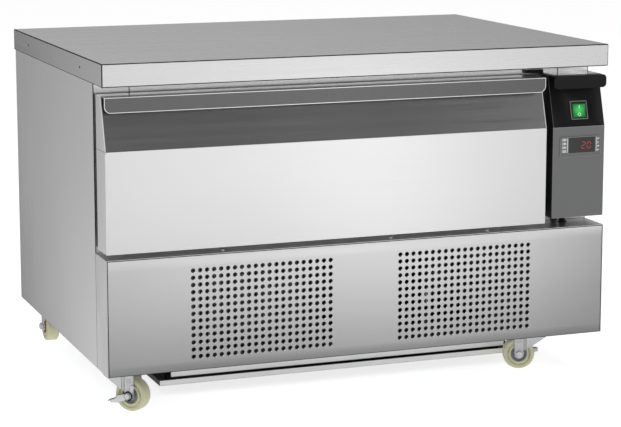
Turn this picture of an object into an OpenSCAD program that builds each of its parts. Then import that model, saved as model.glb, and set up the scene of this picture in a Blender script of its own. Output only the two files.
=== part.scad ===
// Refrigerated drawer unit: an insulated body with one wide drawer, a cooling machine in the
// base behind a perforated front panel, a worktop, a control housing and four swivel casters.
// The origin is the middle of the footprint on the floor, X to the right, Y back, Z up.
// Depths written as d are measured back from the front face of the worktop.

/* [Worktop and body] */
// Width of the worktop
top_w = 1000; // [940:10:1200]
// Depth of the worktop
top_d = 700; // [680:10:800]
// Thickness of the worktop
top_t = 42; // [30:1:60]
// Height of the worktop above the floor
total_h = 650; // [620:5:800]
// Overhang of the worktop past each body side
side_inset = 3; // [1:1:8]
// Thickness of the stainless sheet
sheet = 1.2; // [0.8:0.1:1.5]
// Thickness of the liner sheet
liner_t = 1; // [0.6:0.1:1.5]
// Height of the base below the drawer zone
base_h = 214; // [205:1:260]
// Depth of the zone in front of the frame
setback = 75; // [70:1:90]
// Wall of the insulated body at the sides
wall_side = 57; // [45:1:70]
// Wall of the insulated body at the back
wall_back = 60; // [50:1:80]
// Wall of the insulated body at the top
wall_top = 53; // [45:1:70]
// Wall of the insulated body at the bottom
wall_bottom = 46; // [40:1:60]
// Thickness of the front frame
frame_t = 5; // [3:0.5:8]
// Distance of the back panel from the rear edge
back_recess = 12; // [8:1:20]

/* [Drawer] */
// Thickness of the drawer front
drawer_t = 60; // [50:1:64]
// Gap between the drawer front and the base
drawer_gap_low = 10; // [6:1:14]
// Strip of frame that shows above the drawer front
drawer_gap_top = 18; // [14:1:24]
// Height of the slanted part of the drawer front
slant_h = 97; // [80:1:120]
// Depth that the slanted part leans back at its top
slant_d = 29; // [24:1:36]
// Height of the handle lip
lip_h = 28; // [22:1:40]
// Distance of the handle lip behind the front face
lip_d = 3; // [1:0.5:6]
// Corner radius of the handle lip
lip_r = 12; // [4:1:16]
// Width of one drawer slide
slide_w = 13; // [12.5:0.5:16]
// Height of one drawer slide
slide_h = 45; // [35:1:55]
// Clear space behind the closed slides
slide_back_gap = 28; // [20:1:60]
// Running gap between slide members
slide_gap = 0.4; // [0.3:0.1:0.6]
// Width of the drawer gasket
gasket_w = 18; // [12:1:20]

/* [Control housing] */
// Width of the control housing
control_w = 110; // [104:1:140]
// Gap between the control housing and the drawer front
control_gap = 15; // [8:1:24]
// Wall of the control housing
control_wall = 2.5; // [2:0.1:3]
// Thickness of the fascia plate
fascia_t = 2; // [1.5:0.1:3]
// Width of the thermostat bezel
thermo_w = 89; // [80:1:92]
// Height of the thermostat bezel
thermo_h = 40; // [36:1:46]
// Height of the thermostat centre below the crease
thermo_drop = 39; // [30:1:60]
// Width and height of the switch bezel
switch_s = 36; // [32:1:40]
// Angle that the rocker turns through
rocker_travel = 16; // [10:1:18]
// Travel of the thermostat keys
key_travel = 0.5; // [0.3:0.1:0.6]

/* [Front panel] */
// Holes in one row of a grille
grille_columns = 21; // [11:2:23]
// Rows of holes in a grille
grille_rows = 13; // [5:2:13]
// Distance between holes
grille_pitch = 13.3; // [12:0.1:14]
// Diameter of a hole
grille_hole = 8; // [5:0.5:9]
// Distance of the middle of each grille from the side of the body
grille_from_side = 294; // [280:1:310]

/* [Casters] */
// Clear height under the body
caster_h = 85; // [80:1:110]
// Diameter of the wheels
wheel_d = 62; // [50:1:66]
// Width of the wheels
wheel_w = 25; // [20:1:30]
// Offset of the wheel axle from the swivel axis
caster_trail = 25; // [18:1:30]
// Distance of the left swivel axes from the left side
caster_left = 49; // [44:1:60]
// Distance of the right swivel axes from the right side
caster_right = 105; // [60:1:125]
// Depth of the front swivel axes
caster_front = 92; // [80:1:100]
// Distance of the rear swivel axes from the rear edge
caster_rear = 76; // [70:1:110]
// Radius of the axle bolts
axle_r = 4; // [3:0.5:5]
// Running clearance of pins and shafts in their holes
run_gap = 0.05; // [0.02:0.01:0.1]
// Angle that a brake lever turns through
brake_travel = 20; // [10:1:25]

/* [Cooling machine] */
// Width of the evaporator space beside the drawer
evap_w = 125; // [115:1:135]
// Height of the compressor shell
compressor_h = 180; // [150:1:195]
// Radius of the compressor shell
compressor_r = 80; // [65:1:90]
// Width of the condenser coil
condenser_w = 285; // [240:5:300]
// Height of the condenser coil
condenser_h = 190; // [150:5:195]
// Thickness of the coils
coil_t = 40; // [30:1:50]
// Height of the machine tray above the floor
tray_z = 18; // [12:1:30]
// Height of the tray rim
tray_rim = 10.5; // [6:0.5:16]
// Depth of the tray's front edge
tray_d = 152; // [150:1:170]

/* [Hidden] */
$fn = 48;

steel = "#c9cbcc";
dark_steel = "#8d8f90";
black = "#1d1d1e";
grey = "#707273";
copper = "#b56a3c";
cream = "#dcdcb0";

front = -top_d / 2;
far = 10;
seat = 0.3;
body_x = top_w / 2 - side_inset;
inner_x = body_x - sheet;
body_top = total_h - top_t;
base_top = caster_h + base_h;
inner_back = top_d - sheet;
back_d = top_d - back_recess;

cavity_left = -body_x + wall_side;
cavity_right = body_x - wall_side;
cavity_low = base_top + wall_bottom;
cavity_top = body_top - wall_top;
cavity_back = top_d - wall_back;
cover_x = cavity_right - evap_w;
frame_back = setback + frame_t;
side_fold = 12;
seam_x = 430;
seam = 0.8;
weld = 0.05;
worktop_sheet = 1.5;
worktop_lip = 20;
vent_x = 260;
vent_w = 150;
vent_h = 8;
vent_pitch = 22;
vent_rows = 6;
vent_low = 50;
gland_x = 120;
gland_z = 60;
gland_r = 9;
panel_return = 7.2;
ledge_back = setback + 10;
ledge_low_back = setback - seam;
ledge_strip = 20;
ledge_strip_t = 4;
cover_ledge_d = 18;
floor_upturn = 20;

drawer_left = -body_x + 1;
control_right = body_x - 1;
control_left = control_right - control_w;
drawer_right = control_left - control_gap;
drawer_low = base_top + drawer_gap_low;
drawer_top = body_top - drawer_gap_top;
crease = drawer_top - slant_h;
slant = atan(slant_d / slant_h);
slide_z = cavity_low + 17 + slide_h / 2;
tub_left = cavity_left + slide_w;
tub_right = cover_x - slide_w;
tub_low = cavity_low + 7;
tub_top = cavity_top - 13;
tub_back = cavity_back - 24;
tub_rim = 6;
tub_bar_w = 16;
tub_bar_drop = 10.5;
tub_bar_t = 1.5;
slide_start = setback + 7;
slide_len = cavity_back - slide_back_gap - slide_start;
slide_sheet = 1.2;
slide_outer_u = 9;
slide_middle_u = 9.6;
half_outer = slide_h / 2;
half_middle = half_outer - slide_sheet - slide_gap;
half_inner = half_middle - slide_sheet - slide_gap;
gasket_inset = 8;
gasket_rise = 2;
lip_t = 1.5;
lip_end_left = 6;
lip_end_right = 2;

fascia_d = 1.5;
cap_t = 3;
cap_h = lip_h - 5;
cap_r = 8;
cap_over = 2;
cap_arm = 10;
wing_w = 29;
wing_t = 7;
wing_h = 8;
control_low = drawer_low + 8;
thermo_x = (control_left + control_right) / 2 + 3.5;
thermo_z = crease - thermo_drop;
case_inset = 3.5;
case_step = 2;
case_fit = 0.2;
key_w = 10;
key_h = 5.6;
key_pitch = 7.4;
key_t = 2.4;
case_lip_d = 0.4;
window_d = 0.7;
key_fit = 0.15;
key_x = thermo_x - thermo_w / 2 + 9;
window_w = 56;
window_h = 29;
window_x = thermo_x + 2.5;
window_z = thermo_z + 3.5;
switch_x = (control_left + control_right) / 2 + 2.5;
switch_z = crease + 30.5;
rocker_w = 27;
rocker_r = 14.9;
rocker_pin = 1.5;
rocker_depth = 4.5;
bezel_t = 1.5;
rocker_rest = rocker_travel / 2;
switch_body = 33;
conduit_x = control_left + 51;
conduit_d = 57;
conduit_r = 6;

caster_x = [-body_x + caster_left, body_x - caster_right, -body_x + caster_left, body_x - caster_right];
rear_d = top_d - caster_rear;
caster_d = [caster_front, caster_front, rear_d, rear_d];
caster_turn = [-45, 160, 90, 150];
wheel_r = wheel_d / 2;
hub_r = wheel_r - 9;
plate_s = 66;
plate_t = 2.8;
plate_z = caster_h - plate_t;
bolt_offset = 24;
crown_r = 23;
crown_t = 4;
race_t = 3;
pin_r = 6;
crown_z = plate_z - race_t - seat - crown_t;
fork_gap = wheel_w + 3;
leg_t = 2.5;
fork_out = fork_gap / 2 + leg_t;
bolt_fit = 0.1;
lever_t = 2;
lever_len = 41;
ledge_screw_x = [-274, 57, 257];
ledge_screw_d = 18;
rivet_d = [154, 567];
rivet_r = 3;

tray_x = 373;
tray_mid = 16;
tray_back = rear_d - caster_trail - wheel_r - 6;
baffle_end = 24;
baffle_d = tray_d + 6;
baffle_low = tray_z + tray_rim + 3;
cut_x = 340;
cut_front = tray_d + 38;
cut_back = tray_back - 20;
compressor_x = 190;
compressor_d = top_d / 2;
foot_h = 12;
grille_x = body_x - grille_from_side;
condenser_x = -grille_x;
condenser_d = setback + 20;
floor_z = caster_h + sheet;
shroud_d = condenser_d + coil_t + 1;
evap_fan_back = 100;
evap_fan_drop = 80;
evap_coil_end = 90;
evap_fan_d = cavity_back - evap_fan_back;
evap_fan_z = cavity_top - evap_fan_drop;
evap_coil_x = cover_x + 35;
evap_coil_t = 50;
evap_coil_d = frame_back + 20;
evap_coil_len = evap_fan_d - evap_coil_end - evap_coil_d;
evap_coil_h = cavity_top - cavity_low - 12;
evap_rows = 7;
condenser_rows = 8;
cover_slots = 5;
cover_slot_d = 40;
cover_slot_w = 120;
cover_slot_h = 10;
plate_end = 1.5;
bend_d = 8;
pipe_rise = 15;
pipe_loop = 60;
pipe_side = 50;
pipe_apart = 13;
// Size, thickness, bore and hub radius of each fan
evap_fan = [120, 26, 112, 18];
condenser_fan = [190, 34, 176, 24];
shaft_r = 3;
motor_t = 16;
blades = 5;
blade_t = 1.6;
drier_z = floor_z + condenser_h / condenser_rows / 2;
drier_x = condenser_x + condenser_w / 2 + 40;
drier_d = condenser_d + coil_t / 2 + 60;
drier_len = 100;
suction_r = 5;
discharge_r = 4;
liquid_r = 3;
pipe_hole_r = 14;
stay_x = cut_x + 11;
pipe_x = cavity_right - 20;
pipe_d = evap_coil_d + evap_coil_len + 20;

// A block from its limits: x, depth behind the front face, and height
module slab(x0, x1, d0, d1, z0, z1) {
    translate([x0, front + d0, z0]) cube([x1 - x0, d1 - d0, z1 - z0]);
}

// A flat outline of depth and height, drawn out from x0 to x1
module along_x(x0, x1) {
    translate([x0, front, 0]) rotate([90, 0, 90]) linear_extrude(x1 - x0) children();
}

// A flat outline of x and height, drawn out backwards from depth d0 to d1
module along_depth(d0, d1) {
    translate([0, front + d1, 0]) rotate([90, 0, 0]) linear_extrude(d1 - d0) children();
}

// A rectangle with round corners, between two corners
module round_rect(x0, z0, x1, z1, r) {
    translate([x0 + r, z0]) square([x1 - x0 - 2 * r, z1 - z0]);
    translate([x0, z0 + r]) square([x1 - x0, z1 - z0 - 2 * r]);
    for (x = [x0 + r, x1 - r], z = [z0 + r, z1 - r]) translate([x, z]) circle(r);
}

// Side view of the drawer front: upright below the crease, leaning back above it
module front_outline(d0, low, high, back) {
    polygon([[d0, low], [d0, crease], [slant_d, high], [back, high], [back, low]]);
}

module side_panel(side) {
    x0 = side < 0 ? -body_x : inner_x;
    slab(x0, x0 + sheet, setback, top_d, caster_h, body_top);
    fold = side < 0 ? [-inner_x, -inner_x + side_fold] : [inner_x - side_fold, inner_x];
    slab(fold[0], fold[1], top_d - sheet, top_d, caster_h, body_top);
}

module side_panel_left() {
    color(steel) side_panel(-1);
}

module side_panel_right() {
    color(steel) side_panel(1);
}

module back_panel() {
    color(steel) difference() {
        slab(-inner_x, inner_x, back_d - sheet, back_d, floor_z, body_top - sheet);
        for (side = [-1, 1], row = [0:vent_rows - 1])
            translate([side * vent_x - vent_w / 2, front + back_d - far,
                caster_h + vent_low + row * vent_pitch]) cube([vent_w, 2 * far, vent_h]);
        translate([gland_x, front + back_d + far, caster_h + gland_z]) rotate([90, 0, 0])
            cylinder(r = gland_r + case_fit, h = 2 * far);
    }
}

// The plain sheets that close the insulated body above and below
module body_skins() {
    color(steel) {
        slab(-inner_x, inner_x, frame_back, back_d - sheet, body_top - sheet, body_top);
        difference() {
            slab(-inner_x, inner_x, frame_back, back_d - sheet, base_top, base_top + sheet);
            pipe_hole();
        }
    }
}

module pipe_hole() {
    translate([pipe_x, front + pipe_d, base_top - far])
        cylinder(r = pipe_hole_r, h = wall_bottom + 2 * far);
}

module insulation() {
    color("#e8dfae") difference() {
        slab(-inner_x, inner_x, frame_back, back_d - sheet, base_top + sheet, body_top - sheet);
        slab(cavity_left - liner_t, cavity_right + liner_t, frame_back - far, cavity_back + liner_t,
            cavity_low - liner_t, cavity_top + liner_t);
        pipe_hole();
    }
}

module inner_liner() {
    color(steel) difference() {
        slab(cavity_left - liner_t, cavity_right + liner_t, frame_back, cavity_back + liner_t,
            cavity_low - liner_t, cavity_top + liner_t);
        slab(cavity_left, cavity_right, frame_back - far, cavity_back, cavity_low, cavity_top);
        pipe_hole();
    }
}

// Four folded strips round the drawer opening, and the ledge on top of the control housing
module front_frame() {
    color(steel) {
        along_depth(setback, frame_back) {
            polygon([[-inner_x, base_top], [cavity_left, base_top], [cavity_left, cavity_top],
                [-seam_x, cavity_top], [-seam_x, body_top], [-inner_x, body_top]]);
            translate([-seam_x + seam, cavity_top])
                square([2 * seam_x - seam, body_top - cavity_top]);
            polygon([[cover_x, base_top], [inner_x, base_top], [inner_x, body_top],
                [seam_x + seam, body_top], [seam_x + seam, cavity_top - seam],
                [cover_x, cavity_top - seam]]);
            translate([cavity_left + seam, base_top])
                square([cover_x - cavity_left - 2 * seam, wall_bottom]);
        }
        slab(control_left + cap_arm, control_right, cover_ledge_d, setback - seat, drawer_top,
            drawer_top + sheet);
    }
}

module worktop_skin() {
    color(steel) difference() {
        slab(-top_w / 2, top_w / 2, 0, top_d, body_top, total_h);
        slab(-top_w / 2 + worktop_sheet, top_w / 2 - worktop_sheet, worktop_sheet,
            top_d - worktop_sheet, body_top + worktop_sheet, total_h - worktop_sheet);
        slab(-top_w / 2 + worktop_lip, top_w / 2 - worktop_lip, worktop_lip,
            top_d - worktop_lip, body_top - far, body_top + far);
        at_rivets() cylinder(r = rivet_r + 0.1, h = worktop_sheet);
    }
}

// Rivets through the side edges of the worktop, two on each side
module at_rivets() {
    for (side = [-1, 1], d = rivet_d)
        translate([side < 0 ? -top_w / 2 : top_w / 2 - worktop_sheet, front + d, body_top + top_t / 2])
            rotate([0, 90, 0]) children();
}

module worktop_core() {
    color("#c49a6c") slab(-top_w / 2 + worktop_sheet, top_w / 2 - worktop_sheet, worktop_sheet,
        top_d - worktop_sheet, body_top + worktop_sheet, total_h - worktop_sheet);
}

// Hex head and shank, pointing up, head under z = 0
module hex_bolt(r, length) {
    translate([0, 0, -5]) cylinder(r = 1.75 * r, h = 5, $fn = 6);
    cylinder(r = r, h = length);
}

module screws() {
    color(dark_steel) {
        for (i = [0:3], x = [-1, 1], y = [-1, 1])
            translate([caster_x[i] + x * bolt_offset, front + caster_d[i] + y * bolt_offset, plate_z])
                hex_bolt(4, plate_t + sheet + 6);
        at_rivets() cylinder(r = rivet_r, h = worktop_sheet);
        for (x = ledge_screw_x) translate([x, front + ledge_screw_d, base_top]) {
            cylinder(r = 4, h = 2.2);
            translate([0, 0, -10]) cylinder(r = 2, h = 10);
        }
    }
}

module base_floor() {
    color(dark_steel) difference() {
        union() {
            slab(-inner_x, inner_x, panel_return, inner_back, caster_h, floor_z);
            for (x0 = [-inner_x, inner_x - sheet])
                slab(x0, x0 + sheet, setback, back_d - sheet, floor_z, floor_z + floor_upturn);
        }
        slab(-cut_x, cut_x, cut_front, cut_back, caster_h - far, floor_z + far);
        for (i = [0:3], x = [-1, 1], y = [-1, 1])
            translate([caster_x[i] + x * bolt_offset, front + caster_d[i] + y * bolt_offset,
                caster_h - far]) cylinder(r = 4.2, h = 2 * far);
    }
}

// Ledge and flanks of the base: one folded sheet, with a stiffener under the ledge
module base_surround() {
    color(steel) difference() {
        union() {
            slab(-body_x, body_x, 0, ledge_low_back, base_top - sheet, base_top);
            slab(-inner_x, inner_x, ledge_low_back - seam, ledge_back, base_top - sheet, base_top);
            slab(-body_x, -inner_x, 0, ledge_low_back, caster_h, base_top);
            slab(inner_x, body_x, 0, ledge_low_back, caster_h, base_top);
            slab(-inner_x + ledge_strip / 2, control_left, ledge_screw_d - ledge_strip / 2,
                ledge_screw_d + ledge_strip / 2, base_top - sheet - ledge_strip_t, base_top);
        }
        for (x = ledge_screw_x)
            translate([x, front + ledge_screw_d, base_top - far]) cylinder(r = 2.2, h = 2 * far);
        translate([conduit_x, front + conduit_d, base_top - far])
            cylinder(r = conduit_r + 0.2, h = 2 * far);
    }
}

module base_front_panel() {
    mid_z = caster_h + base_h / 2 - 2;
    color(steel) {
        difference() {
            slab(-inner_x, inner_x, 0, sheet, caster_h, base_top - sheet);
            for (side = [-1, 1], i = [0:grille_columns - 1], j = [0:grille_rows - 1])
                translate([side * grille_x + (i - (grille_columns - 1) / 2) * grille_pitch,
                    front + far, mid_z + (j - (grille_rows - 1) / 2) * grille_pitch])
                    rotate([90, 0, 0]) cylinder(d = grille_hole, h = 2 * far, $fn = 24);
        }
        slab(-inner_x, inner_x, sheet, panel_return, caster_h, floor_z);
        slab(-inner_x, inner_x, sheet, panel_return, base_top - 2 * sheet, base_top - sheet);
        for (x0 = [-inner_x, inner_x - sheet])
            slab(x0, x0 + sheet, sheet, panel_return, floor_z, base_top - 2 * sheet);
    }
}

// Places its children on the slanted face, local X across and local Z up the slope
module on_slant(x, z) {
    translate([x, front + fascia_d + (z - crease) / slant_h * (slant_d - fascia_d), z])
        rotate([-atan((slant_d - fascia_d) / slant_h), 0, 0]) children();
}

module control_housing() {
    shell_d = fascia_d + fascia_t;
    color(black) difference() {
        along_x(control_left, control_right)
            polygon([[shell_d, control_low], [shell_d, crease], [fascia_d, crease],
                [slant_d, drawer_top], [setback, drawer_top], [setback, control_low]]);
        along_x(control_left + control_wall, control_right - control_wall)
            polygon([[shell_d + control_wall, control_low + control_wall],
                [shell_d + control_wall, crease + 1],
                [slant_d + control_wall, drawer_top - control_wall],
                [setback + far, drawer_top - control_wall],
                [setback + far, control_low + control_wall]]);
        thermostat_hole();
        on_slant(switch_x, switch_z)
            translate([-switch_body / 2, -far, -switch_body / 2])
                cube([switch_body, 3 * far, switch_body]);
        translate([conduit_x, front + conduit_d, control_low - far])
            cylinder(r = conduit_r + 0.2, h = 2 * far);
    }
}

module thermostat_hole() {
    half_w = thermo_w / 2 - case_inset + case_fit;
    half_h = thermo_h / 2 - case_step + case_fit;
    slab(thermo_x - half_w, thermo_x + half_w, -far, setback - far, thermo_z - half_h,
        thermo_z + half_h);
}

// Black moulded cap with a lip in line with the drawer handle, and a wing over the drawer's corner
module control_cap() {
    color(black) {
        along_depth(0, cap_t) round_rect(control_left, drawer_top - cap_h, body_x,
            drawer_top + cap_over, cap_r);
        slab(control_left + cap_r, body_x - cap_r, cap_t, cover_ledge_d, drawer_top,
            drawer_top + cap_over);
        slab(control_left, control_left + cap_arm, cap_t, setback, drawer_top,
            drawer_top + cap_over);
        slab(control_left - wing_w, control_left + cap_arm, setback - wing_t, setback,
            drawer_top + cap_over, drawer_top + wing_h);
    }
}

module control_fascia() {
    color(grey) difference() {
        slab(control_left, control_right, fascia_d, fascia_d + fascia_t, control_low, crease);
        thermostat_hole();
    }
}

module switch_bezel() {
    half = switch_s / 2;
    opening = rocker_r + 0.3;
    color(black) on_slant(switch_x, switch_z) difference() {
        union() {
            rotate([90, 0, 0]) linear_extrude(bezel_t) round_rect(-half, -half, half, half, 2);
            translate([-switch_body / 2 + case_fit, 0, -switch_body / 2 + case_fit])
                cube([switch_body - 2 * case_fit, 20, switch_body - 2 * case_fit]);
        }
        translate([-rocker_w / 2 - seat, -far, -opening])
            cube([rocker_w + 2 * seat, far + 18, 2 * opening]);
        translate([-switch_s / 2 - far, rocker_depth, 0]) rotate([0, 90, 0])
            cylinder(r = rocker_pin + run_gap, h = switch_s + 2 * far);
    }
}

// The rocker is a slice of a cylinder round its own pin, with a front face of two shallow slopes
module switch_rocker() {
    color("#1fae4a") on_slant(switch_x, switch_z) translate([0, rocker_depth, 0])
        rotate([rocker_rest, 0, 0]) {
            intersection() {
                translate([-rocker_w / 2, 0, 0]) rotate([0, 90, 0])
                    cylinder(r = rocker_r, h = rocker_w);
                translate([-rocker_w / 2, 0, 0]) rotate([90, 0, 90]) linear_extrude(rocker_w)
                    polygon([[-8.6, -rocker_r], [-6.2, 0], [-8.6, rocker_r], [5, rocker_r],
                        [5, -rocker_r]]);
            }
            translate([-rocker_w / 2 - 2, 0, 0]) rotate([0, 90, 0])
                cylinder(r = rocker_pin, h = rocker_w + 4);
        }
}

module window_cut(grow) {
    slab(window_x - window_w / 2 - grow, window_x + window_w / 2 + grow, -far, fascia_d,
        window_z - window_h / 2 - grow, window_z + window_h / 2 + grow);
}

module key_cut(i, grow, back) {
    z = window_z + (1.5 - i) * key_pitch;
    slab(key_x - key_w / 2 - grow, key_x + key_w / 2 + grow, -far, back,
        z - key_h / 2 - grow, z + key_h / 2 + grow);
}

module thermostat_case() {
    color(grey) difference() {
        union() {
            along_depth(case_lip_d, fascia_d) round_rect(thermo_x - thermo_w / 2, thermo_z - thermo_h / 2,
                thermo_x + thermo_w / 2, thermo_z + thermo_h / 2, 5);
            slab(thermo_x - thermo_w / 2 + case_inset, thermo_x + thermo_w / 2 - case_inset, fascia_d,
                setback - 17, thermo_z - thermo_h / 2 + case_step, thermo_z + thermo_h / 2 - case_step);
        }
        window_cut(0.1);
        for (i = [0:3]) key_cut(i, key_fit, key_t + key_travel + seat);
    }
}

module thermostat_window() {
    color("#26231f") slab(window_x - window_w / 2, window_x + window_w / 2, window_d, fascia_d,
        window_z - window_h / 2, window_z + window_h / 2);
}

module thermostat_key(i) {
    z = window_z + (1.5 - i) * key_pitch;
    color(grey) slab(key_x - key_w / 2, key_x + key_w / 2, 0, key_t, z - key_h / 2, z + key_h / 2);
}

module thermostat_key_1() { thermostat_key(0); }
module thermostat_key_2() { thermostat_key(1); }
module thermostat_key_3() { thermostat_key(2); }
module thermostat_key_4() { thermostat_key(3); }

// The cable conduit between ledge and control housing, and the gland at the back
module cable_glands() {
    color(black) {
        translate([conduit_x, front + conduit_d, base_top - 12]) difference() {
            union() {
                cylinder(r = conduit_r, h = control_low - base_top + 22);
                translate([0, 0, 12]) cylinder(r = conduit_r + 3, h = 2);
            }
            translate([0, 0, -far]) cylinder(r = conduit_r - 1.5, h = base_h);
        }
        translate([gland_x, front + back_d, caster_h + gland_z]) rotate([-90, 0, 0]) difference() {
            union() {
                translate([0, 0, -sheet - 8]) cylinder(r = gland_r, h = 8 + sheet);
                cylinder(r = gland_r + 4, h = 4, $fn = 6);
                cylinder(r = gland_r + 1, h = back_recess - 1);
            }
            translate([0, 0, -2 * far]) cylinder(r = gland_r / 2, h = 4 * far);
        }
    }
}

// Perforated sheet between the drawer space and the evaporator
module evaporator_cover() {
    color(steel) difference() {
        slab(cover_x, cover_x + sheet, frame_back, cavity_back, cavity_low, cavity_top);
        translate([cover_x - far, front + evap_fan_d, evap_fan_z]) rotate([0, 90, 0])
            cylinder(d = evap_fan[2], h = 2 * far);
        for (row = [1:cover_slots]) slab(cover_x - far, cover_x + far, frame_back + cover_slot_d,
            frame_back + cover_slot_d + cover_slot_w, cavity_top - 2 * row * cover_slot_h - far,
            cavity_top - (2 * row - 1) * cover_slot_h - far);
    }
}

// Fin pack: length along X, thickness along Y, height along Z. Every row of tubes has a U bend at
// the near end; at the far end the first and last rows are left free for the pipes
module coil(length, thick, high, pitch, bends) {
    count = floor((length - 4) / pitch);
    fin = 0.8;
    color("#b9bcbd") linear_extrude(high) {
        translate([0, thick - fin]) square([length, fin]);
        for (i = [0:count]) translate([2 + i * pitch, 0]) square([fin, thick - fin]);
    }
    color(dark_steel) for (x = [-plate_end, length])
        translate([x, 0, 0]) cube([plate_end, thick, high]);
    color(copper) for (far_end = [0, 1], i = [far_end:bends - 1 - far_end]) {
        gap = high / bends;
        translate([far_end ? length + plate_end : -plate_end, thick / 2, (i + 0.5) * gap])
            rotate([90, 0, far_end ? -90 : 90])
            rotate_extrude(angle = 180, $fn = 24) translate([gap / 4, 0]) circle(d = bend_d);
    }
}

module evaporator_coil() {
    translate([evap_coil_x + evap_coil_t, front + evap_coil_d, cavity_low]) rotate([0, 0, 90])
        coil(evap_coil_len, evap_coil_t, evap_coil_h, 7, evap_rows);
}

// Axial fan frame: square plate with a bore, motor in the middle on four arms, axis along local Z
module fan_frame(size, thick, bore, hub) {
    difference() {
        union() {
            difference() {
                translate([-size / 2, -size / 2, 0]) cube([size, size, thick]);
                translate([0, 0, -far]) cylinder(d = bore, h = thick + 2 * far, $fn = 96);
            }
            translate([0, 0, thick - motor_t]) cylinder(r = hub, h = motor_t);
            for (a = [45:90:315]) rotate([0, 0, a])
                translate([hub - 2, -4, thick - 4]) cube([bore / 2 - hub + 4, 8, 4]);
        }
        translate([0, 0, thick - motor_t - far]) cylinder(r = shaft_r + run_gap, h = far + 12);
    }
}

// Fan rotor on its shaft, inside the frame above
module fan_rotor(thick, bore, hub) {
    tip = bore / 2 - 3;
    translate([0, 0, 2]) cylinder(r = hub + 1, h = thick - motor_t - 2.5);
    translate([0, 0, thick - motor_t - 0.5]) cylinder(r = shaft_r, h = 12);
    intersection() {
        translate([0, 0, 2]) cylinder(r = tip, h = thick - 7);
        for (i = [1:blades]) rotate([0, 0, i * 360 / blades])
            translate([hub - 1, 0, (thick - motor_t) / 2]) rotate([28, 0, 0])
            translate([0, -tip / 2.6, -blade_t / 2]) cube([tip, tip / 1.3, blade_t]);
    }
}

module at_evaporator_fan() {
    translate([cover_x + sheet, front + evap_fan_d, evap_fan_z]) rotate([0, 90, 0]) children();
}

module at_condenser_fan() {
    translate([condenser_x, front + shroud_d, floor_z + condenser_fan[0] / 2])
        rotate([-90, 0, 0]) children();
}

module evaporator_fan_frame() {
    color(black) at_evaporator_fan()
        fan_frame(evap_fan[0], evap_fan[1], evap_fan[2], evap_fan[3]);
}

module evaporator_fan_rotor() {
    color(grey) at_evaporator_fan() fan_rotor(evap_fan[1], evap_fan[2], evap_fan[3]);
}

module condenser_fan_frame() {
    color(black) at_condenser_fan()
        fan_frame(condenser_fan[0], condenser_fan[1], condenser_fan[2], condenser_fan[3]);
}

module condenser_fan_rotor() {
    color(grey) at_condenser_fan()
        fan_rotor(condenser_fan[1], condenser_fan[2], condenser_fan[3]);
}

module condenser_coil() {
    translate([condenser_x - condenser_w / 2, front + condenser_d, floor_z])
        coil(condenser_w, coil_t, condenser_h, 6, condenser_rows);
}

// Hermetic shell on a foot plate, with a terminal box and two pipe stubs
module compressor() {
    r = compressor_r;
    low = tray_z + sheet + foot_h;
    dome = 34;
    color(black) translate([compressor_x, front + compressor_d, low]) {
        rotate_extrude() polygon([[0, 6], [r * 0.62, 6], [r * 0.9, 14], [r, dome],
            [r, compressor_h - dome], [r * 0.93, compressor_h - 16], [r * 0.7, compressor_h - 4],
            [r * 0.4, compressor_h], [0, compressor_h]]);
        difference() {
            translate([-r - 15, -r + 10, 0]) cube([2 * r + 30, 2 * r - 20, 3]);
            for (x = [-1, 1], y = [-1, 1]) translate([x * (r + 4), y * (r - 22), -far])
                cylinder(r = 5.2, h = 3 * far);
        }
        translate([0, 0, 3]) cylinder(r = r * 0.6, h = 4);
        translate([-25, -r - 18, compressor_h / 2 - 25]) cube([50, 30, 50]);
    }
}

module compressor_feet() {
    low = tray_z + sheet;
    color(black) for (x = [-1, 1], y = [-1, 1])
        translate([compressor_x + x * (compressor_r + 4),
            front + compressor_d + y * (compressor_r - 22), low]) {
            cylinder(r = 11, h = foot_h);
            cylinder(r = 5, h = foot_h + 3);
            translate([0, 0, foot_h + 3]) cylinder(r = 9, h = 4);
        }
}

// Pipe through a list of points, with a ball at each turn
module pipe(points, r) {
    for (i = [0:len(points) - 2]) {
        v = points[i + 1] - points[i];
        translate(points[i]) rotate([0, acos(v[2] / norm(v)), atan2(v[1], v[0])])
            cylinder(r = r, h = norm(v), $fn = 24);
        if (i > 0) translate(points[i]) sphere(r = r, $fn = 24);
    }
}

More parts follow.
